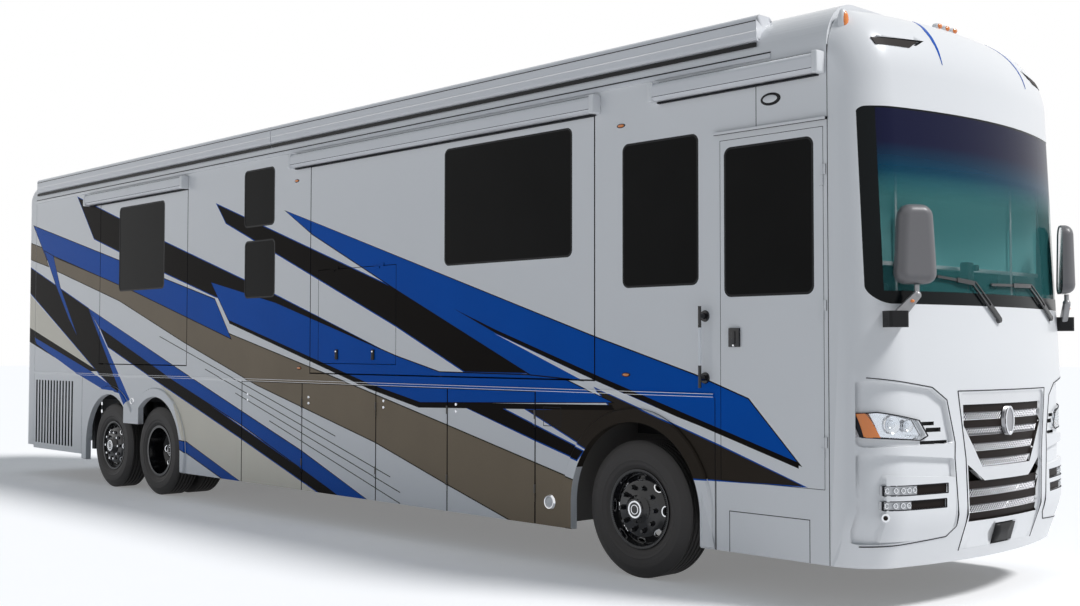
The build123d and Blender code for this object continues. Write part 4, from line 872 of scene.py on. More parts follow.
def paint_node(node, rows):
    """Painted copy of one solid."""
    bm = node_copy(node)
    merge_flat(bm)
    bmesh.ops.triangulate(bm, faces=[face for face in bm.faces if len(face.verts) > 4])
    low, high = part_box(node)
    for side in SIDES.values():
        if side * outer_y(node, side) < SIDE_Y - 0.1:
            continue
        for number, corners in rows:
            x_low, x_high, z_low, z_high = extent(corners)
            if x_high >= low.x and x_low <= high.x and z_high >= low.z and z_low <= high.z:
                lay_paint(bm, side, corners, number)
    paint_edges(node, bm)
    merge_flat(bm, {"MATERIAL"})
    bmesh.ops.triangulate(bm, faces=bm.faces[:])
    return dress(node, bm, looks(*PAINTS.values()), "painted", "walls")


class MOTORHOME_OT_paintwork(bpy.types.Operator):
    """Lay the stripes on the walls, doors, skirts and slide-out rooms"""

    bl_idname = "motorhome.paintwork"
    bl_label = "Paintwork"

    def execute(self, context):
        rows = paint_list()
        for node in PAINTED:
            paint_node(node, rows)
        return {"FINISHED"}


class MOTORHOME_OT_side_glass(bpy.types.Operator):
    """Side windows with their rubber gaskets"""

    bl_idname = "motorhome.side_glass"
    bl_label = "Side Glass"

    def execute(self, context):
        for node in GLAZED:
            bm = node_copy(node)
            merge_flat(bm)
            outer = [face for face in bm.faces
                     if abs(face.normal.y) > 0.9 and face.normal.y * face.calc_center_median().y > 0]
            rim = bmesh.ops.inset_region(bm, faces=outer, thickness=sizes().gasket, use_even_offset=True)
            for face in rim["faces"]:
                face.material_index = 1
            bmesh.ops.inset_region(bm, faces=outer, thickness=0.003, depth=-0.003, use_even_offset=True)
            bmesh.ops.triangulate(bm, faces=bm.faces[:])
            dress(node, bm, looks("privacy_glass", "moulded_black"))
        return {"FINISHED"}


class MOTORHOME_OT_windscreen(bpy.types.Operator):
    """Windscreen with its black border, and the roller shade behind it"""

    bl_idname = "motorhome.windscreen"
    bl_label = "Windscreen"

    def execute(self, context):
        bm = node_copy("windscreen")
        low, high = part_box("windscreen")
        at_side, at_foot, at_head = SCREEN_BORDER
        border_y, border_low, border_high = high.y - at_side, low.z + at_foot, high.z - at_head
        for y in (border_y, -border_y):
            cut(bm, (0, y, 0), (0, 1, 0))
        for z in (border_low, border_high):
            cut(bm, (0, 0, z), (0, 0, 1))
        for face in bm.faces:
            centre = face.calc_center_median()
            if abs(centre.y) > border_y or not border_low < centre.z < border_high:
                face.material_index = 1
        dress("windscreen", bm, [windscreen_glass(), look("frit_black")], shading="nose")
        self.shade()
        self.dash_camera()
        return {"FINISHED"}

    def shade(self):
        """Shade cloth with its roll, hem bar and guides."""
        low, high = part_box("windscreen_shade")
        x, half = middle_x("windscreen_shade"), SHADE_HALF
        foot, head = low.z + SHADE_END, high.z - SHADE_END
        cloth = bmesh.new()
        place = Matrix.Translation((x, 0, (foot + head) / 2)) @ Matrix.Rotation(pi / 2, 4, "Y")
        place = place @ Matrix.Diagonal(((head - foot) / 2, half, 1.0, 1.0))
        bmesh.ops.create_grid(cloth, x_segments=24, y_segments=40, size=1.0, matrix=place)
        for vert in cloth.verts:
            vert.co.x += SHADE_BOW * sin(vert.co.y * 5.0) * (head - vert.co.z) / (head - foot)
        outward(cloth)
        bmesh.ops.solidify(cloth, geom=cloth.faces[:], thickness=0.0015)
        sheet = piece("shade_cloth", cloth, [shade_cloth()], replaces=("windscreen_shade",))
        fittings = bmesh.new()
        drum(fittings, (x, -half, head), (x, half, head), 0.028)
        block(fittings, (x - 0.011, -half, foot - SHADE_END), (x + 0.011, half, foot), 0.004)
        for y in (-0.9, 0.68):
            block(fittings, (x + 0.02, y - 0.012, 2.10), (x + 0.03, y + 0.012, head), 0.003)
        bar = piece("shade_fittings", fittings, looks("silver_trim"))

    def dash_camera(self):
        """Small camera on a stalk above the dashboard."""
        bm = bmesh.new()
        block(bm, (6.60, -0.10, 2.20), (6.67, -0.02, 2.33), 0.012)
        drum(bm, (6.66, -0.03, 2.29), (6.70, -0.03, 2.29), 0.022)
        drum(bm, (6.64, -0.06, 1.97), (6.64, -0.06, 2.21), 0.010)
        piece("dash_camera", bm, looks("moulded_black"))


class MOTORHOME_OT_front(bpy.types.Operator):
    """Front cap with its dark slots, and the grille with its mesh rows and badge"""

    bl_idname = "motorhome.front"
    bl_label = "Front"

    def execute(self, context):
        bm = node_copy("front_cap")
        for face in bm.faces:
            centre = face.calc_center_median()
            across = abs(centre.y)
            depth = nose_depth(centre) if centre.z < 3.4 else 0.0
            in_slot = any(y0 - 0.004 < across < y1 + 0.004 and z0 - 0.004 < centre.z < z1 + 0.004
                          for y0, y1, z0, z1 in LAMP_SLOTS)
            in_scoop = SCOOP_Z[0] < centre.z < SCOOP_Z[1] and across < 1.15 and abs(face.normal.z) > 0.9
            if in_scoop or (in_slot and depth > 0.03):
                face.material_index = 1
        dress("front_cap", bm, looks("pearl_white", "moulded_black"), "painted", "nose")
        self.grille()
        self.lattice()
        self.seams()
        return {"FINISHED"}

    def seams(self):
        """Dark seams round the lamp pods and grille, scoop mouths and blue brow lines."""
        lines = [(POD_SEAM, SEAM_W, -0.003), (SHIELD_SEAM, SEAM_W, -0.003)]
        lines.append(((*LENS, LENS[0]), 0.007, 0.0095))
        for y0, y1, z0, z1, _ in LAMP_STRIPS:
            lines.append((((y0, z0), (y1, z0), (y1, z1), (y0, z1), (y0, z0)), SEAM_W, -0.001))
        bm = bmesh.new()
        for side in SIDES.values():
            for line, width, inset in lines:
                for start, end in zip(line, line[1:]):
                    self.laid_strip(bm, on_side(side, band(start, end, width)), 0, inset)
            self.laid_strip(bm, on_side(side, SCOOP), 1)
            for (y0, z0, w0), (y1, z1, w1) in zip(BROW_LINE, BROW_LINE[1:]):
                corners = ((y0 - w0, z0), (y1 - w1, z1), (y1 + w1, z1), (y0 + w0, z0))
                self.laid_strip(bm, on_side(side, corners), 2)
        y, z = SHIELD_SEAM[0]
        self.laid_strip(bm, band((-y, z), (y, z), SEAM_W), 0)
        piece("front_seams", bm, looks("seam_dark", "dark_recess", "cobalt_blue"))

    def laid_strip(self, bm, corners, number, inset=-0.003):
        """Thin plate laid on the nose."""
        thick, run = STRIP
        strip = bmesh.new()
        plate(strip, corners, thick, number)
        y_low, y_high, z_low, z_high = extent(corners)
        slice_along(strip, (0, 1, 0), y_low, y_high, max(2, int((y_high - y_low) / run)))
        slice_along(strip, (0, 0, 1), z_low, z_high, max(2, int((z_high - z_low) / run)))
        drape(strip, inset)
        outward(strip)
        join(bm, strip)

    def grille(self):
        """Shield plate, dark slats, oval badge and tow eye cover."""
        bm = node_copy("grille")
        fields = [mirrored_outline(UPPER_FIELD), mirrored_outline(LOWER_FIELD)]
        badge_y, badge_h, badge_z = BADGE
        cover_y, cover_low, cover_high = TOW_COVER
        for face in bm.faces:
            centre = face.calc_center_median()
            if any(inside(field, centre.y, centre.z) for field in fields):
                face.material_index = 1
            away = hypot(centre.y / badge_y, (centre.z - badge_z) / badge_h)
            if away < 1.02 and nose_depth(centre) < 0.027:
                face.material_index = 2
            if abs(centre.y) < cover_y and cover_low < centre.z < cover_high and nose_depth(centre) < 0.026:
                face.material_index = 3
        finishes = looks("silver_trim", "dark_recess", "badge_face", "moulded_black")
        dress("grille", bm, finishes, shading="nose")
        place = Matrix.Translation((0, 0, badge_z)) @ Matrix.Diagonal((1.0, badge_y, badge_h, 1.0))
        oval = oval_band(place @ Matrix.Rotation(pi / 2, 4, "Y"), 56, 0.014, 0.006)
        drape(oval, -0.005)
        outward(oval)
        piece("badge_ring", oval, looks("chrome"))
        backing = bmesh.new()
        plate(backing, [(-0.55, 0.40), (0.55, 0.40), (0.60, 1.42), (-0.60, 1.42)], 0.004)
        slice_along(backing, (0, 1, 0), -0.6, 0.6, 16)
        drape(backing, 0.0585)
        piece("grille_backing", backing, looks("moulded_black"))

    def lattice(self):
        """Diamond mesh rows between the slats."""
        bm = bmesh.new()
        for half, rows in ((UPPER_FIELD, 4), (LOWER_FIELD, 2)):
            self.lattice_field(bm, half, rows)
        bmesh.ops.wireframe(bm, faces=bm.faces[:], thickness=sizes().wire, use_replace=True,
                            use_boundary=True, use_even_offset=True)
        drape(bm, 0.036)
        outward(bm)
        piece("grille_lattice", bm, looks("mesh_metal"))

    def lattice_field(self, bm, half, rows):
        """One field's mesh, cut to its rows and outline."""
        outline = mirrored_outline(half)
        top = half[0][1]
        _, reach, low, high = extent(half)
        before = set(bm.faces)
        cells = int(2 * reach * 1.5 / (sizes().lattice * sqrt(2)))
        place = Matrix.Translation((0, 0, (low + high) / 2)) @ Matrix.Rotation(pi / 2, 4, "Y")
        place = place @ Matrix.Rotation(pi / 4, 4, "Z")
        size = cells * sizes().lattice / 2
        bmesh.ops.create_grid(bm, x_segments=cells, y_segments=cells, size=size, matrix=place)
        lines = [((0, top - step * FIELD_ROW), (0, 1)) for step in range(2 * rows + 1)]
        for (y0, z0), (y1, z1) in pairs(outline):
            lines.append(((y0, z0), (z0 - z1, y1 - y0)))
        for (y, z), (ny, nz) in lines:
            geom = parts_of(made_since(bm, before))
            bmesh.ops.bisect_plane(bm, geom=geom, plane_co=(0, y, z), plane_no=(0, ny, nz))
        drop = []
        for face in made_since(bm, before):
            centre = face.calc_center_median()
            row = int((top - centre.z) // FIELD_ROW)
            if row % 2 == 0 or row >= 2 * rows or row < 0 or not inside(outline, centre.y, centre.z):
                drop.append(face)
        bmesh.ops.delete(bm, geom=drop, context="FACES")


class MOTORHOME_OT_lamps(bpy.types.Operator):
    """Headlamps, running lamps, markers, tail lamps and the porch and docking lamps"""

    bl_idname = "motorhome.lamps"
    bl_label = "Lamps"

    def execute(self, context):
        self.headlamps()
        self.running_lamps()
        self.markers()
        tails = node_copy("tail_lamps")
        merge_flat(tails)
        bevel(tails, tails.edges[:], 0.012, 4)
        dress("tail_lamps", tails, looks("red_moulding"))
        self.wall_lamps()
        return {"FINISHED"}

    def markers(self):
        """Oval amber lenses in dark bezels on the walls and in white pods on the brow."""
        source = node_copy("marker_lamps")
        bm = bmesh.new()
        for low, high in islands(source):
            middle, half = (low + high) / 2, (high - low) / 2
            if middle.z > 3.6:
                lens = middle + Vector((half.x * 0.45, 0, 0))
                ball(bm, middle - Vector((0.004, 0, 0)), 1.0, half, 2)
                ball(bm, lens, 1.0, (half.x * 0.55, half.y * 0.75, half.z * 0.75))
            else:
                root = Vector((middle.x, SIDE_Y if middle.y > 0 else -SIDE_Y, middle.z))
                ball(bm, root, 1.0, (half.x, 0.006, half.z), 1)
                ball(bm, root, 1.0, (half.x * 0.78, 0.013, half.z * 0.72))
        source.free()
        dress("marker_lamps", bm, looks("amber_moulding", "moulded_black", "pearl_white"), shading="plain")

    def headlamps(self):
        """Clear lens, amber corner, bright reflector bowls and a row of small lamps."""
        lens = node_copy("front_lamps")
        drop = [face for face in lens.faces if face.calc_center_median().z < 1.0
                or max(nose_depth(vert.co) for vert in face.verts) > 0.02]
        bmesh.ops.delete(lens, geom=drop, context="FACES")
        (edge_y, edge_z), (ny, nz) = AMBER_EDGE
        for side in SIDES.values():
            cut(lens, (0, side * edge_y, edge_z), (0, side * ny, nz))
        for face in lens.faces:
            centre = face.calc_center_median()
            if (abs(centre.y) - edge_y) * ny + (centre.z - edge_z) * nz > 0:
                face.material_index = 1
        bmesh.ops.solidify(lens, geom=lens.faces[:], thickness=0.003)
        dress("front_lamps", lens, looks("clear_lens", "amber_moulding"))
        bright = bmesh.new()
        for side in SIDES.values():
            corners = on_side(side, LENS)
            plate(bright, corners if side < 0 else corners[::-1], 0.004)
        slice_along(bright, (0, 1, 0), -1.29, -0.88, 10)
        slice_along(bright, (0, 1, 0), 0.88, 1.29, 10)
        drape(bright, 0.049)
        for side in SIDES.values():
            for y, z, radius in ((1.140, 1.232, 0.058), (1.035, 1.222, 0.040)):
                x = nose_x(y, z, 0.045)
                cup = ((0.0, 0.006), (0.004, radius * 0.5), (0.022, radius), (0.026, radius),
                       (0.020, radius * 1.04), (-0.004, radius * 0.5), (-0.004, 0.006))
                ring(bright, (x, side * y, z), (1.0, side * 0.45, 0.0), cup, steps=40)
                ball(bright, (x + 0.008, side * y, z), radius * 0.42, number=1)
            for step in range(5):
                y, z = 0.935 + step * 0.022, 1.150 + step * 0.002
                ball(bright, (nose_x(y, z, 0.040), side * y, z), 0.008, number=1, segments=12)
        piece("headlamp_reflectors", bright, looks("chrome", "clear_lens"))

    def running_lamps(self):
        """Lamp strips with a pale part that holds small round lamps, a dark filler and a sensor."""
        strips = bmesh.new()
        for side in SIDES.values():
            for y0, y1, z0, z1, count in LAMP_STRIPS:
                split = y1 - count * LAMP_PITCH
                low, high = z0 + 0.002, z1 - 0.002
                for a, b, number in ((y0 + 0.002, split, 0), (split, y1 - 0.002, 1)):
                    plate(strips, on_side(side, ((a, low), (b, low), (b, high), (a, high))), 0.014, number)
        slice_along(strips, (0, 1, 0), -1.22, -0.7, 16)
        slice_along(strips, (0, 1, 0), 0.7, 1.22, 16)
        drape(strips, 0.012)
        bezel = ((0.0, 0.013), (0.006, 0.013), (0.006, 0.018), (0.0, 0.019))
        collar = ((-0.01, 0.014), (0.004, 0.016), (0.004, 0.027), (-0.01, 0.028))
        for side in SIDES.values():
            for _, y1, z0, z1, count in LAMP_STRIPS:
                for step in range(count):
                    y, z = y1 - 0.024 - step * LAMP_PITCH, (z0 + z1) / 2
                    spot = (nose_x(y, z, 0.012), side * y, z)
                    ring(strips, spot, (1.0, side * y / NOSE_R, 0.0), bezel, steps=24, number=2)
                    ball(strips, spot, 0.012, (0.5, 1.0, 1.0), 3, 14)
            sensor = (nose_x(*SENSOR), side * SENSOR[0], SENSOR[1])
            ring(strips, sensor, (1.0, side * 0.8, 0.0), collar, steps=28, number=2)
            ball(strips, sensor, 0.014)
        piece("running_lamps", strips, looks("dark_recess", "lamp_bed", "chrome", "clear_lens"))

    def wall_lamps(self):
        """Porch lamp beside the entry door's head, and docking lamps on the skirts."""
        bm = bmesh.new()
        x, z = PORCH_LAMP
        ball(bm, (x, -SIDE_Y, z), 0.085, (1.0, 0.14, 0.52), 0, 28)
        ball(bm, (x, -SIDE_Y - 0.006, z), 0.062, (1.0, 0.16, 0.46), 1, 24)
        for side in SIDES.values():
            for x, z, bezel, radius, flat in SKIRT_LAMPS:
                ring(bm, (x, side * SIDE_Y, z), (0, side, 0), bezel, number=2)
                ball(bm, (x, side * SIDE_Y, z), radius, (1.0, flat, 1.0), 1)
        piece("wall_lamps", bm, looks("moulded_black", "milky_lens", "chrome"))


class MOTORHOME_OT_mirrors(bpy.types.Operator):
    """Mirror heads with glass, on the arms and brackets of the solids"""

    bl_idname = "motorhome.mirrors"
    bl_label = "Mirrors"

    def execute(self, context):
        bm = node_copy("mirrors")
        cut(bm, (0, 0, MIRROR_FOOT_Z - 0.004), (0, 0, 1), clear_outer=True)
        for face in bm.faces:
            if face.calc_center_median().z < BRACKET_TOP_Z and abs(face.normal.z) < 0.99:
                face.material_index = 1
        for side in SIDES.values():
            self.head(bm, side)
            self.arm(bm, side)
        dress("mirrors", bm, looks("arm_grey", "moulded_black", "mirror_casing", "amber_moulding", "chrome"))
        return {"FINISHED"}

    def head(self, bm, side):
        """Rounded shell, narrower at its head, with a glass plate on its rear face."""
        low, high = MIRROR_FOOT_Z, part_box("mirrors")[1].z
        shell = bmesh.new()
        grow = Matrix.Translation((0, 0, (low + high) / 2))
        grow = grow @ Matrix.Diagonal((*MIRROR_HEAD, high - low, 1.0))
        bmesh.ops.create_cube(shell, size=1.0, matrix=grow)
        for vert in shell.verts:
            if vert.co.z > (low + high) / 2:
                vert.co.y *= 0.80
                vert.co.x *= 0.86
        bevel(shell, [e for e in shell.edges if abs(e.verts[0].co.x - e.verts[1].co.x) > 0.05], 0.078, 9)
        front = [face for face in shell.faces if face.normal.x > 0.95]
        bevel(shell, [edge for face in front for edge in face.edges], 0.062, 9)
        for face in shell.faces:
            face.material_index = 2
        rear = [face for face in shell.faces if face.normal.x < -0.95]
        bmesh.ops.inset_region(shell, faces=rear, thickness=0.014, depth=-0.006, use_even_offset=True)
        for face in rear:
            face.material_index = 4
        x, inset, _ = MIRROR_ELBOW
        turn = Matrix.Rotation(side * MIRROR_TURN, 4, "Z")
        join(bm, shell, Matrix.Translation((x, side * (SIDE_Y - inset), 0.0)) @ turn)

    def arm(self, bm, side):
        """Flat arm casting from the bracket to the elbow, with an amber lens on its front."""
        foot, elbow = (Vector((x, side * (SIDE_Y - inset), z))
                       for x, inset, z in (MIRROR_ROOT, MIRROR_ELBOW))
        line = elbow - foot
        run = line.normalized()
        out = Vector((1.0, side * 0.9, 0.0))
        out = (out - run * out.dot(run)).normalized()
        place = Matrix((out, run.cross(out), run)).transposed().to_4x4()
        place.translation = foot
        bar = bmesh.new()
        block(bar, (-0.020, -0.040, 0.03), (0.024, 0.040, line.length + 0.012), 0.010)
        for vert in bar.verts:
            vert.co.y *= 1.0 - 1.6 * vert.co.z
        join(bm, bar, place)
        ball(bm, foot + line * 0.74 + out * 0.020, 0.019, (0.8, 0.8, 0.6), 3)


class MOTORHOME_OT_wipers(bpy.types.Operator):
    """Wipers with paired arm bars, a spring cover, a blade and a pivot cap"""

    bl_idname = "motorhome.wipers"
    bl_label = "Wipers"

    def execute(self, context):
        bm = bmesh.new()
        for pivot, elbow, tip in WIPERS:
            for shift in (-0.016, 0.016):
                self.bar(bm, pivot, elbow, 0.012, (0.010, 0.022), shift)
            self.bar(bm, pivot, Vector(pivot).lerp(Vector(elbow), 0.40), 0.036, (0.006, 0.024))
            self.bar(bm, elbow, tip, 0.018, (0.009, 0.018))
            self.bar(bm, elbow, tip, 0.006, (0.001, 0.012), -0.004, 1)
            self.bar(bm, elbow, Vector(elbow).lerp(Vector(tip), 0.50), 0.030, (0.012, 0.024))
        drape(bm)
        for pivot, _, _ in WIPERS:
            x = nose_x(*pivot)
            drum(bm, (x - 0.004, *pivot), (x + 0.022, *pivot), 0.026, 0.020)
        outward(bm)
        dress("wipers", bm, looks("wiper_steel", "rubber"))
        return {"FINISHED"}

    def bar(self, bm, start, end, width, heights, shift=0.0, number=0):
        """Flat bar between two points across the screen, sliced to follow it."""
        line = Vector(end) - Vector(start)
        strip = bmesh.new()
        low = (heights[0], 0, shift - width / 2)
        high = (heights[1], line.length, shift + width / 2)
        block(strip, low, high, 0.002, 1, number)
        slice_along(strip, (0, 1, 0), 0, line.length, 14)
        join(bm, strip, Matrix.Translation((0, *start)) @ Matrix.Rotation(atan2(line.y, line.x), 4, "X"))


def tyre_outline():
    """Tyre outline of (along, radius): bead, bowed wall with raised rings, shoulder and grooved tread."""
    centre_a, centre_r, bow = -0.0281, 0.4035, 0.1800
    wall = []
    for step in range(22):
        angle = radians(-41.0 + step * 69.0 / 21)
        reach = bow + (0.0030 if step in (5, 6, 9, 15, 16) else 0.0)
        wall.append((centre_a + reach * cos(angle), centre_r + reach * sin(angle)))
    tread = TYRE_R - 0.0005
    bed = tread - sizes().groove
    shoulder = [(0.1290, 0.4915), (0.1230, 0.5030), (0.1125, tread)]
    ribs = []
    for groove in (0.086, 0.044, 0.0):
        ribs += [(groove + 0.007, tread), (groove + 0.005, bed),
                 (groove - 0.005, bed), (groove - 0.007, tread)]
    right = [(min(a, TYRE_W / 2 - 0.0005), r) for a, r in wall + shoulder + ribs[:-2]]
    return right + [(-a, r) for a, r in reversed(right)]


class MOTORHOME_OT_tyres(bpy.types.Operator):
    """Tyres with bowed walls, raised rings and tread grooves"""

    bl_idname = "motorhome.tyres"
    bl_label = "Tyres"

    def execute(self, context):
        outline = tyre_outline()
        for label, side in SIDES.items():
            for name, twin in WHEELS:
                node = f"{name}_{label}_tyre"
                rows = [outer_y(node, side) - side * TYRE_W / 2]
                if twin:
                    rows.append(outer_y(node, -side) + side * TYRE_W / 2)
                bm = bmesh.new()
                for y in rows:
                    ring(bm, (middle_x(node), y, TYRE_R), (0, 1, 0), outline, steps=112)
                dress(node, bm, looks("rubber"))
        return {"FINISHED"}


class MOTORHOME_OT_rims(bpy.types.Operator):
    """Black rims with nuts, bright hand hole edges and hub rings"""

    bl_idname = "motorhome.rims"
    bl_label = "Rims"

    def execute(self, context):
        for label, side in SIDES.items():
            for name, dished in WHEELS:
                node = f"{name}_{label}_rim"
                dress(node, node_copy(node), looks("gloss_black"))
                middle = outer_y(f"{name}_{label}_tyre", side) - side * TYRE_W / 2
                hub_end = -0.004 if dished else abs(outer_y(node, side) - middle)
                centre = Vector((middle_x(node), middle, TYRE_R))
                bm = bmesh.new()
                self.nuts(bm, centre, side, dished, 0 if name == "front" else 1)
                self.hand_holes(bm, centre, side, dished)
                hub = centre + Vector((0, side * hub_end, 0))
                for r0, r1, r2, r3 in ((0.052, 0.054, 0.064, 0.066), (0.030, 0.031, 0.036, 0.037)):
                    ring(bm, hub, (0, side, 0), ((0.0, r0), (0.002, r1), (0.002, r2), (0.0, r3)), number=1)
                nuts = f"{name}_{label}_wheel_nuts"
                piece(nuts, bm, looks("gloss_black", "chrome"), BODY_OF[node])
        return {"FINISHED"}

    def nuts(self, bm, centre, side, dished, number):
        """Nuts on washers round the bolting face."""
        foot, head, tip = (Vector((0, side * along, 0)) for along in
                           ((-0.1565, -0.1445, -0.1225) if dished else (0.128, 0.140, 0.162)))
        for step in range(sizes().nuts):
            angle = 2 * pi * step / sizes().nuts
            spot = centre + Vector((cos(angle), 0, sin(angle))) * BOLT_R
            drum(bm, spot + foot, spot + head, 0.021, segments=6)
            drum(bm, spot + head, spot + tip, 0.017, 0.013, 12, number)

    def hand_holes(self, bm, centre, side, dished):
        """Bright edges of the hand holes on the dish."""
        out = Vector((0, side, 0))
        slope = 126.5 / 90.0 if dished else -68.0 / 76.0
        along = -0.0918 if dished else 0.0965
        for step in range(HAND_HOLES):
            angle = 2 * pi * step / HAND_HOLES
            spoke = Vector((cos(angle), 0, sin(angle)))
            edge = oval_band(Matrix.Diagonal((*HAND_HOLE, 1.0, 1.0)), 28, 0.008, 0.004)
            bmesh.ops.translate(edge, vec=(0, 0, 0.002), verts=edge.verts[:])
            run = (spoke + out * slope).normalized()
            around = out.cross(spoke)
            normal = run.cross(around)
            if normal.dot(out) < 0:
                normal = -normal
            place = Matrix((run, around, normal)).transposed().to_4x4()
            place.translation = centre + spoke * HAND_HOLE_R + out * along + normal * 0.0015
            for face in edge.faces:
                face.material_index = 1
            bmesh.ops.transform(edge, matrix=place, verts=edge.verts[:])
            outward(edge)
            join(bm, edge)


class MOTORHOME_OT_fittings(bpy.types.Operator):
    """Latches, locks, handles, silver strips on the belt rails as painted highlights, and the front fins"""

    bl_idname = "motorhome.fittings"
    bl_label = "Fittings"

    def execute(self, context):
        self.hatch()
        self.entry_door()
        self.bay_locks()
        self.handle()
        self.fins()
        self.belt_edges()
        return {"FINISHED"}

    def belt_edges(self):
        """Silver strips along the top and bottom edges of the belt rails: painted highlights."""
        low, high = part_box("belt_rails")
        bm = bmesh.new()
        for side in SIDES.values():
            # Thin silver strips stand for the highlights on the rails' edges
            for z in (low.z + 0.001, high.z - 0.004):
                block(bm, (low.x, side * (high.y - 0.003), z), (high.x, side * (high.y + 0.001), z + 0.003))
        piece("belt_edges", bm, looks("silver_trim"))

    def hatch(self):
        """Two black latches at the foot of the entertainment hatch."""
        bm = bmesh.new()
        for x in (0.675, 1.272):
            block(bm, (x - 0.024, -SIDE_Y, 1.612), (x + 0.024, -SIDE_Y - 0.012, 1.710), 0.008)
            ball(bm, (x, -SIDE_Y - 0.012, 1.690), 0.010, number=1)
        piece("hatch_latches", bm, looks("moulded_black", "chrome"), "tv_hatch")

    def entry_door(self):
        """Paddle handle with its lock on the entry door."""
        bm = bmesh.new()
        x, y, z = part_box("entry_door")[0].x + 0.127, -SIDE_Y - 0.013, 1.798
        block(bm, (x - 0.046, y, z - 0.066), (x + 0.046, y - 0.004, z + 0.066), 0.0035, 2)
        block(bm, (x - 0.014, y, z - 0.045), (x + 0.014, y - 0.014, z + 0.045), 0.006)
        ball(bm, (x, y - 0.008, z - 0.055), 0.009, number=1)
        piece("door_paddle", bm, looks("gloss_black", "chrome"), "entry_door")

    def bay_locks(self):
        """Two small round locks near the head of each bay door."""
        for label, side in SIDES.items():
            for number in range(1, 5):
                node = f"bay_door_{label}_{number}"
                bm = bmesh.new()
                for z in (1.235, 1.175):
                    spot = Vector((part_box(node)[0].x + 0.115, side * SIDE_Y, z))
                    drum(bm, spot, spot + Vector((0, side * 0.006, 0)), 0.014, 0.012, 20)
                piece(f"{node}_locks", bm, looks("chrome"), node)

    def handle(self):
        """Clear grab rod between black ends."""
        low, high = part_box("grab_handle")
        x, y = middle_x("grab_handle"), low.y + 0.012
        rod_low, rod_high = 1.60, 1.87
        bm = bmesh.new()
        drum(bm, (x, y, rod_low), (x, y, rod_high), 0.011, number=1)
        for z0, z1 in ((low.z, rod_low), (rod_high, high.z)):
            drum(bm, (x, y, z0), (x, y, z1), 0.0119, segments=28)
        for z in (1.511, 1.953):
            drum(bm, (x, y, z), (x, -SIDE_Y - 0.010, z), 0.016, 0.022)
            drum(bm, (x, -SIDE_Y - 0.012, z), (x, -SIDE_Y, z), 0.038, 0.042)
        dress("grab_handle", bm, looks("gloss_black", "clear_rod"))

    def fins(self):
        """White fin on the panel in front of each front wheel."""
        bm = bmesh.new()
        for side in SIDES.values():
            y = side * (SIDE_Y + 0.012)
            corners = ((5.286, y, 0.318), (5.368, y, 0.318), (5.252, y, 0.770))
            spots = [bm.verts.new(corner) for corner in corners]
            tip = bm.verts.new((5.318, y + side * 0.070, 0.332))
            bm.faces.new(spots)
            for a, b in pairs(spots):
                bm.faces.new((a, b, tip))
        outward(bm)
        piece("skirt_fins", bm, looks("pearl_white"))


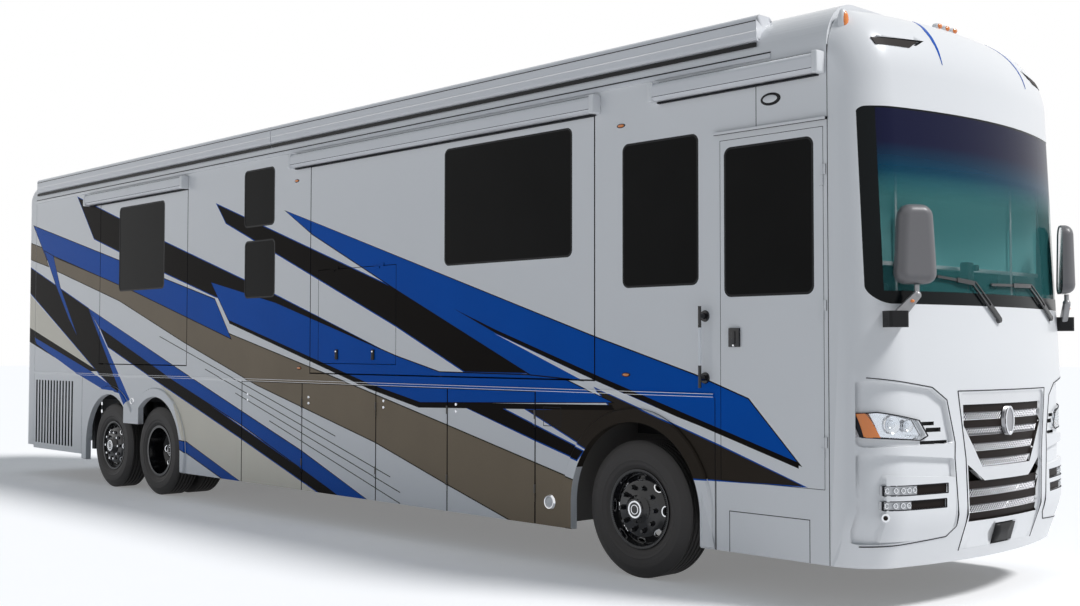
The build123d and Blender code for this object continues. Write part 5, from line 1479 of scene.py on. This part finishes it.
class MOTORHOME_OT_roof(bpy.types.Operator):
    """Roof, its units, the awning cases, the trim line under the roof and a painted shade strip under the
    long awning
    """

    bl_idname = "motorhome.roof"
    bl_label = "Roof"

    def execute(self, context):
        for node in ("roof", "roof_units"):
            dress(node, node_copy(node), looks("pearl_white"))
        self.cases()
        self.trim()
        return {"FINISHED"}

    def cases(self):
        """Awning cases with a dark line in the face, end caps and seals against the wall."""
        bm = node_copy("awning_cases")
        ends = bmesh.new()
        for low, high in islands(bm):
            if high.z > TRIM_Z:
                continue
            side = 1 if high.y > 0 else -1
            own = [v for v in bm.verts if all(low[i] - 1e-4 < v.co[i] < high[i] + 1e-4 for i in range(3))]
            for vert in own:
                vert.co.x = min(max(vert.co.x, low.x + CASE_SHORT), high.x - CASE_SHORT)
            for x in (low.x, high.x - CASE_END):
                block(ends, (x, side * SIDE_Y, low.z - 0.004),
                      (x + CASE_END, high.y if side > 0 else low.y, high.z + 0.004), 0.012)
            self.face_line(bm, own, low.z)
            for z0, z1, out in ((high.z + 0.002, high.z + 0.010, 0.010), (low.z - 0.010, low.z, 0.030)):
                start = (low.x + CASE_END, side * SIDE_Y, z0)
                end = (high.x - CASE_END, side * (SIDE_Y + out), z1)
                block(ends, start, end, 0.001, 1, 1)
        piece("awning_ends", ends, looks("pearl_white", "seam_dark"))
        dress("awning_cases", bm, looks("awning_paint", "seam_dark"))

    def face_line(self, bm, verts, foot):
        """Cut a thin dark line into the face of one case."""
        geom = {item for vert in verts for item in (*vert.link_edges, *vert.link_faces)}.union(verts)
        for rise in CASE_LINE:
            made = bmesh.ops.bisect_plane(bm, geom=list(geom), plane_co=(0, 0, foot + rise),
                                          plane_no=(0, 0, 1))
            geom = made["geom"]
        for face in geom:
            if isinstance(face, bmesh.types.BMFace):
                rise = face.calc_center_median().z - foot
                in_line = CASE_LINE[0] < rise < CASE_LINE[1] and abs(face.normal.y) > 0.5
                face.material_index = 1 if in_line else 0

    def trim(self):
        """Trim along the roof's edge, the lines of the long awning, and a black strip under it that is
        painted shade.
        """
        bm = bmesh.new()
        low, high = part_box("roof")
        front = high.x - 0.45
        for side in SIDES.values():
            y = side * SIDE_Y
            block(bm, (low.x, y, TRIM_Z - 0.022), (front, y + side * 0.016, TRIM_Z + 0.012), 0.005, 2)
            block(bm, (low.x, y, TRIM_Z + 0.016), (front, y + side * 0.006, TRIM_Z + 0.024), 0.002, 1, 1)
        piece("roof_trim", bm, looks("awning_paint", "moulded_black"))
        awning = bmesh.new()
        for x0, x1 in ((-6.58, -0.565), (-0.545, 5.745)):
            y = -SIDE_Y - 0.006
            block(awning, (x0, y, ROOF_Z - 0.128), (x1, y - 0.004, ROOF_Z - 0.120), 0.0015, 1)
            block(awning, (x0, y, ROOF_Z - 0.056), (x1, y - 0.004, ROOF_Z - 0.050), 0.0015, 1, 1)
            # Black strip on the wall under the awning: painted shade where the awning shades the wall
            block(awning, (x0, y + 0.010, ROOF_Z - 0.236), (x1, y + 0.002, ROOF_Z - 0.204), 0.001, 1, 1)
        piece("awning_lines", awning, looks("silver_trim", "moulded_black"))


class MOTORHOME_OT_cab(bpy.types.Operator):
    """Cab seats with crowned cushions and head rests on pedestals, and the dashboard"""

    bl_idname = "motorhome.cab"
    bl_label = "Cab"

    def execute(self, context):
        pedestals = bmesh.new()
        cushions = bmesh.new()
        for y, foot_low, foot_high in SEATS:
            block(pedestals, (5.57, foot_low, 1.08), (5.85, foot_high, 1.43), 0.02)
            self.cushion(cushions, (5.55, y - 0.26, 1.425), (5.955, y + 0.26, 1.555), 2)
            self.cushion(cushions, (5.425, y - 0.255, 1.43), (5.535, y + 0.255, 2.06), 0)
            self.cushion(cushions, (5.425, y - 0.14, 2.07), (5.525, y + 0.14, 2.255), 0)
        piece("seat_pedestals", pedestals, looks("chassis_paint"))
        seats = piece("seat_cushions", cushions, looks("leather"), replaces=("cab_seats",))
        dress("dashboard", node_copy("dashboard"), looks("moulded_black"))
        return {"FINISHED"}

    def cushion(self, bm, low, high, crown):
        """Rounded pad whose face is crowned along one axis and whose seams pull in."""
        pad = bmesh.new()
        block(pad, low, high, 0.035, 4)
        for axis, a, b in zip(((1, 0, 0), (0, 1, 0), (0, 0, 1)), low, high):
            slice_along(pad, axis, a, b, 6)
        middle = (Vector(low) + Vector(high)) / 2
        half = (Vector(high) - Vector(low)) / 2
        for vert in pad.verts:
            away = max(abs(vert.co[i] - middle[i]) / half[i] for i in range(3) if i != crown)
            pull = 0.92 + 0.08 * cos(pi / 2 * min(away, 1.0))
            vert.co[crown] = middle[crown] + (vert.co[crown] - middle[crown]) * pull
        join(bm, pad)


class MOTORHOME_OT_underbody(bpy.types.Operator):
    """Finishes of the solids that show below, behind and inside"""

    bl_idname = "motorhome.underbody"
    bl_label = "Underbody"

    def execute(self, context):
        plain = {
            "engine": "cast_metal", "axles": "chassis_paint", "chassis_frame": "chassis_paint",
            "body_floor": "floor_board", "cab_floor": "floor_board", "knuckle_right": "chassis_paint",
            "knuckle_left": "chassis_paint", "hitch_receiver": "chassis_paint",
            "engine_door": "pearl_white",
        }
        for node, name in plain.items():
            dress(node, node_copy(node), looks(name))
        return {"FINISHED"}


class MOTORHOME_OT_stage(bpy.types.Operator):
    """Pale floor, soft light and the camera"""

    bl_idname = "motorhome.stage"
    bl_label = "Stage"

    def execute(self, context):
        scene = context.scene
        scene.view_settings.view_transform = "Standard"
        bm = bmesh.new()
        bmesh.ops.create_grid(bm, x_segments=2, y_segments=2, size=120.0)
        mesh = bpy.data.meshes.new("floor")
        bm.to_mesh(mesh)
        bm.free()
        mesh.materials.append(pale_floor())
        floor = bpy.data.objects.new("floor", mesh)
        scene.collection.objects.link(floor)
        self.lights(scene)
        self.camera(scene)
        return {"FINISHED"}

    def lights(self, scene):
        """Soft key from the front left above, and a pale blue surround that is seen as white."""
        sun = bpy.data.lights.new("key", "SUN")
        sun.energy = sizes().key
        sun.angle = radians(14.0)
        key = bpy.data.objects.new("key", sun)
        key.rotation_euler = Vector(KEY_FROM).to_track_quat("Z", "Y").to_euler()
        scene.collection.objects.link(key)
        world = bpy.data.worlds.new("surround")
        world.use_nodes = True
        scene.world = world
        tree = world.node_tree
        tree.nodes.clear()
        white = wired(tree, "Background", {"Color": WHITE})
        fill = wired(tree, "Background", {"Color": FILL_COLOUR, "Strength": sizes().fill})
        mix = wired(tree, "MixShader", links={0: seen_mask(tree), 1: fill.outputs[0], 2: white.outputs[0]})
        wired(tree, "OutputWorld", links={"Surface": mix.outputs[0]})

    def camera(self, scene):
        """Camera off the right front corner, at eye height."""
        data = bpy.data.cameras.new("camera")
        data.sensor_width = 36.0
        data.lens = sizes().lens
        data.clip_end = 300.0
        camera = bpy.data.objects.new("camera", data)
        yaw, pitch, roll = map(radians, CAMERA_TURN)
        ahead = Vector((cos(yaw) * cos(pitch), sin(yaw) * cos(pitch), sin(pitch)))
        level = Vector((sin(yaw), -cos(yaw), 0.0))
        up = level.cross(ahead)
        right = level * cos(roll) + up * sin(roll)
        top = up * cos(roll) - level * sin(roll)
        turn = Matrix((right, top, -ahead)).transposed().to_4x4()
        camera.matrix_world = Matrix.Translation(CAMERA_AT) @ turn
        scene.collection.objects.link(camera)
        scene.camera = camera


class MOTORHOME_PT_panel(bpy.types.Panel):
    """Sidebar panel with the motorhome's pieces and settings"""

    bl_idname = "MOTORHOME_PT_panel"
    bl_label = "Motorhome"
    bl_space_type = "VIEW_3D"
    bl_region_type = "UI"
    bl_category = "Motorhome"

    def draw(self, context):
        layout = self.layout
        for operator in OPERATORS:
            layout.operator(operator.bl_idname)
        for group in (context.scene.motorhome_colours, context.scene.motorhome_sizes):
            box = layout.box()
            for name in group.__annotations__:
                box.prop(group, name)


OPERATORS = (
    MOTORHOME_OT_stage,
    MOTORHOME_OT_paintwork,
    MOTORHOME_OT_side_glass,
    MOTORHOME_OT_windscreen,
    MOTORHOME_OT_front,
    MOTORHOME_OT_lamps,
    MOTORHOME_OT_mirrors,
    MOTORHOME_OT_wipers,
    MOTORHOME_OT_tyres,
    MOTORHOME_OT_rims,
    MOTORHOME_OT_fittings,
    MOTORHOME_OT_roof,
    MOTORHOME_OT_cab,
    MOTORHOME_OT_underbody,
)
CLASSES = (MotorhomeColours, MotorhomeSizes, *OPERATORS, MOTORHOME_PT_panel)


def register():
    """Register the classes and hang the settings on the scene."""
    for cls in CLASSES:
        bpy.utils.register_class(cls)
    bpy.types.Scene.motorhome_colours = PointerProperty(type=MotorhomeColours)
    bpy.types.Scene.motorhome_sizes = PointerProperty(type=MotorhomeSizes)


def unregister():
    """Take the settings and classes away again."""
    del bpy.types.Scene.motorhome_sizes
    del bpy.types.Scene.motorhome_colours
    for cls in reversed(CLASSES):
        bpy.utils.unregister_class(cls)


def main():
    """Build every piece in order."""
    register()
    for operator in OPERATORS:
        group, name = operator.bl_idname.split(".")
        getattr(getattr(bpy.ops, group), name)()


if __name__ == "__main__":
    main()
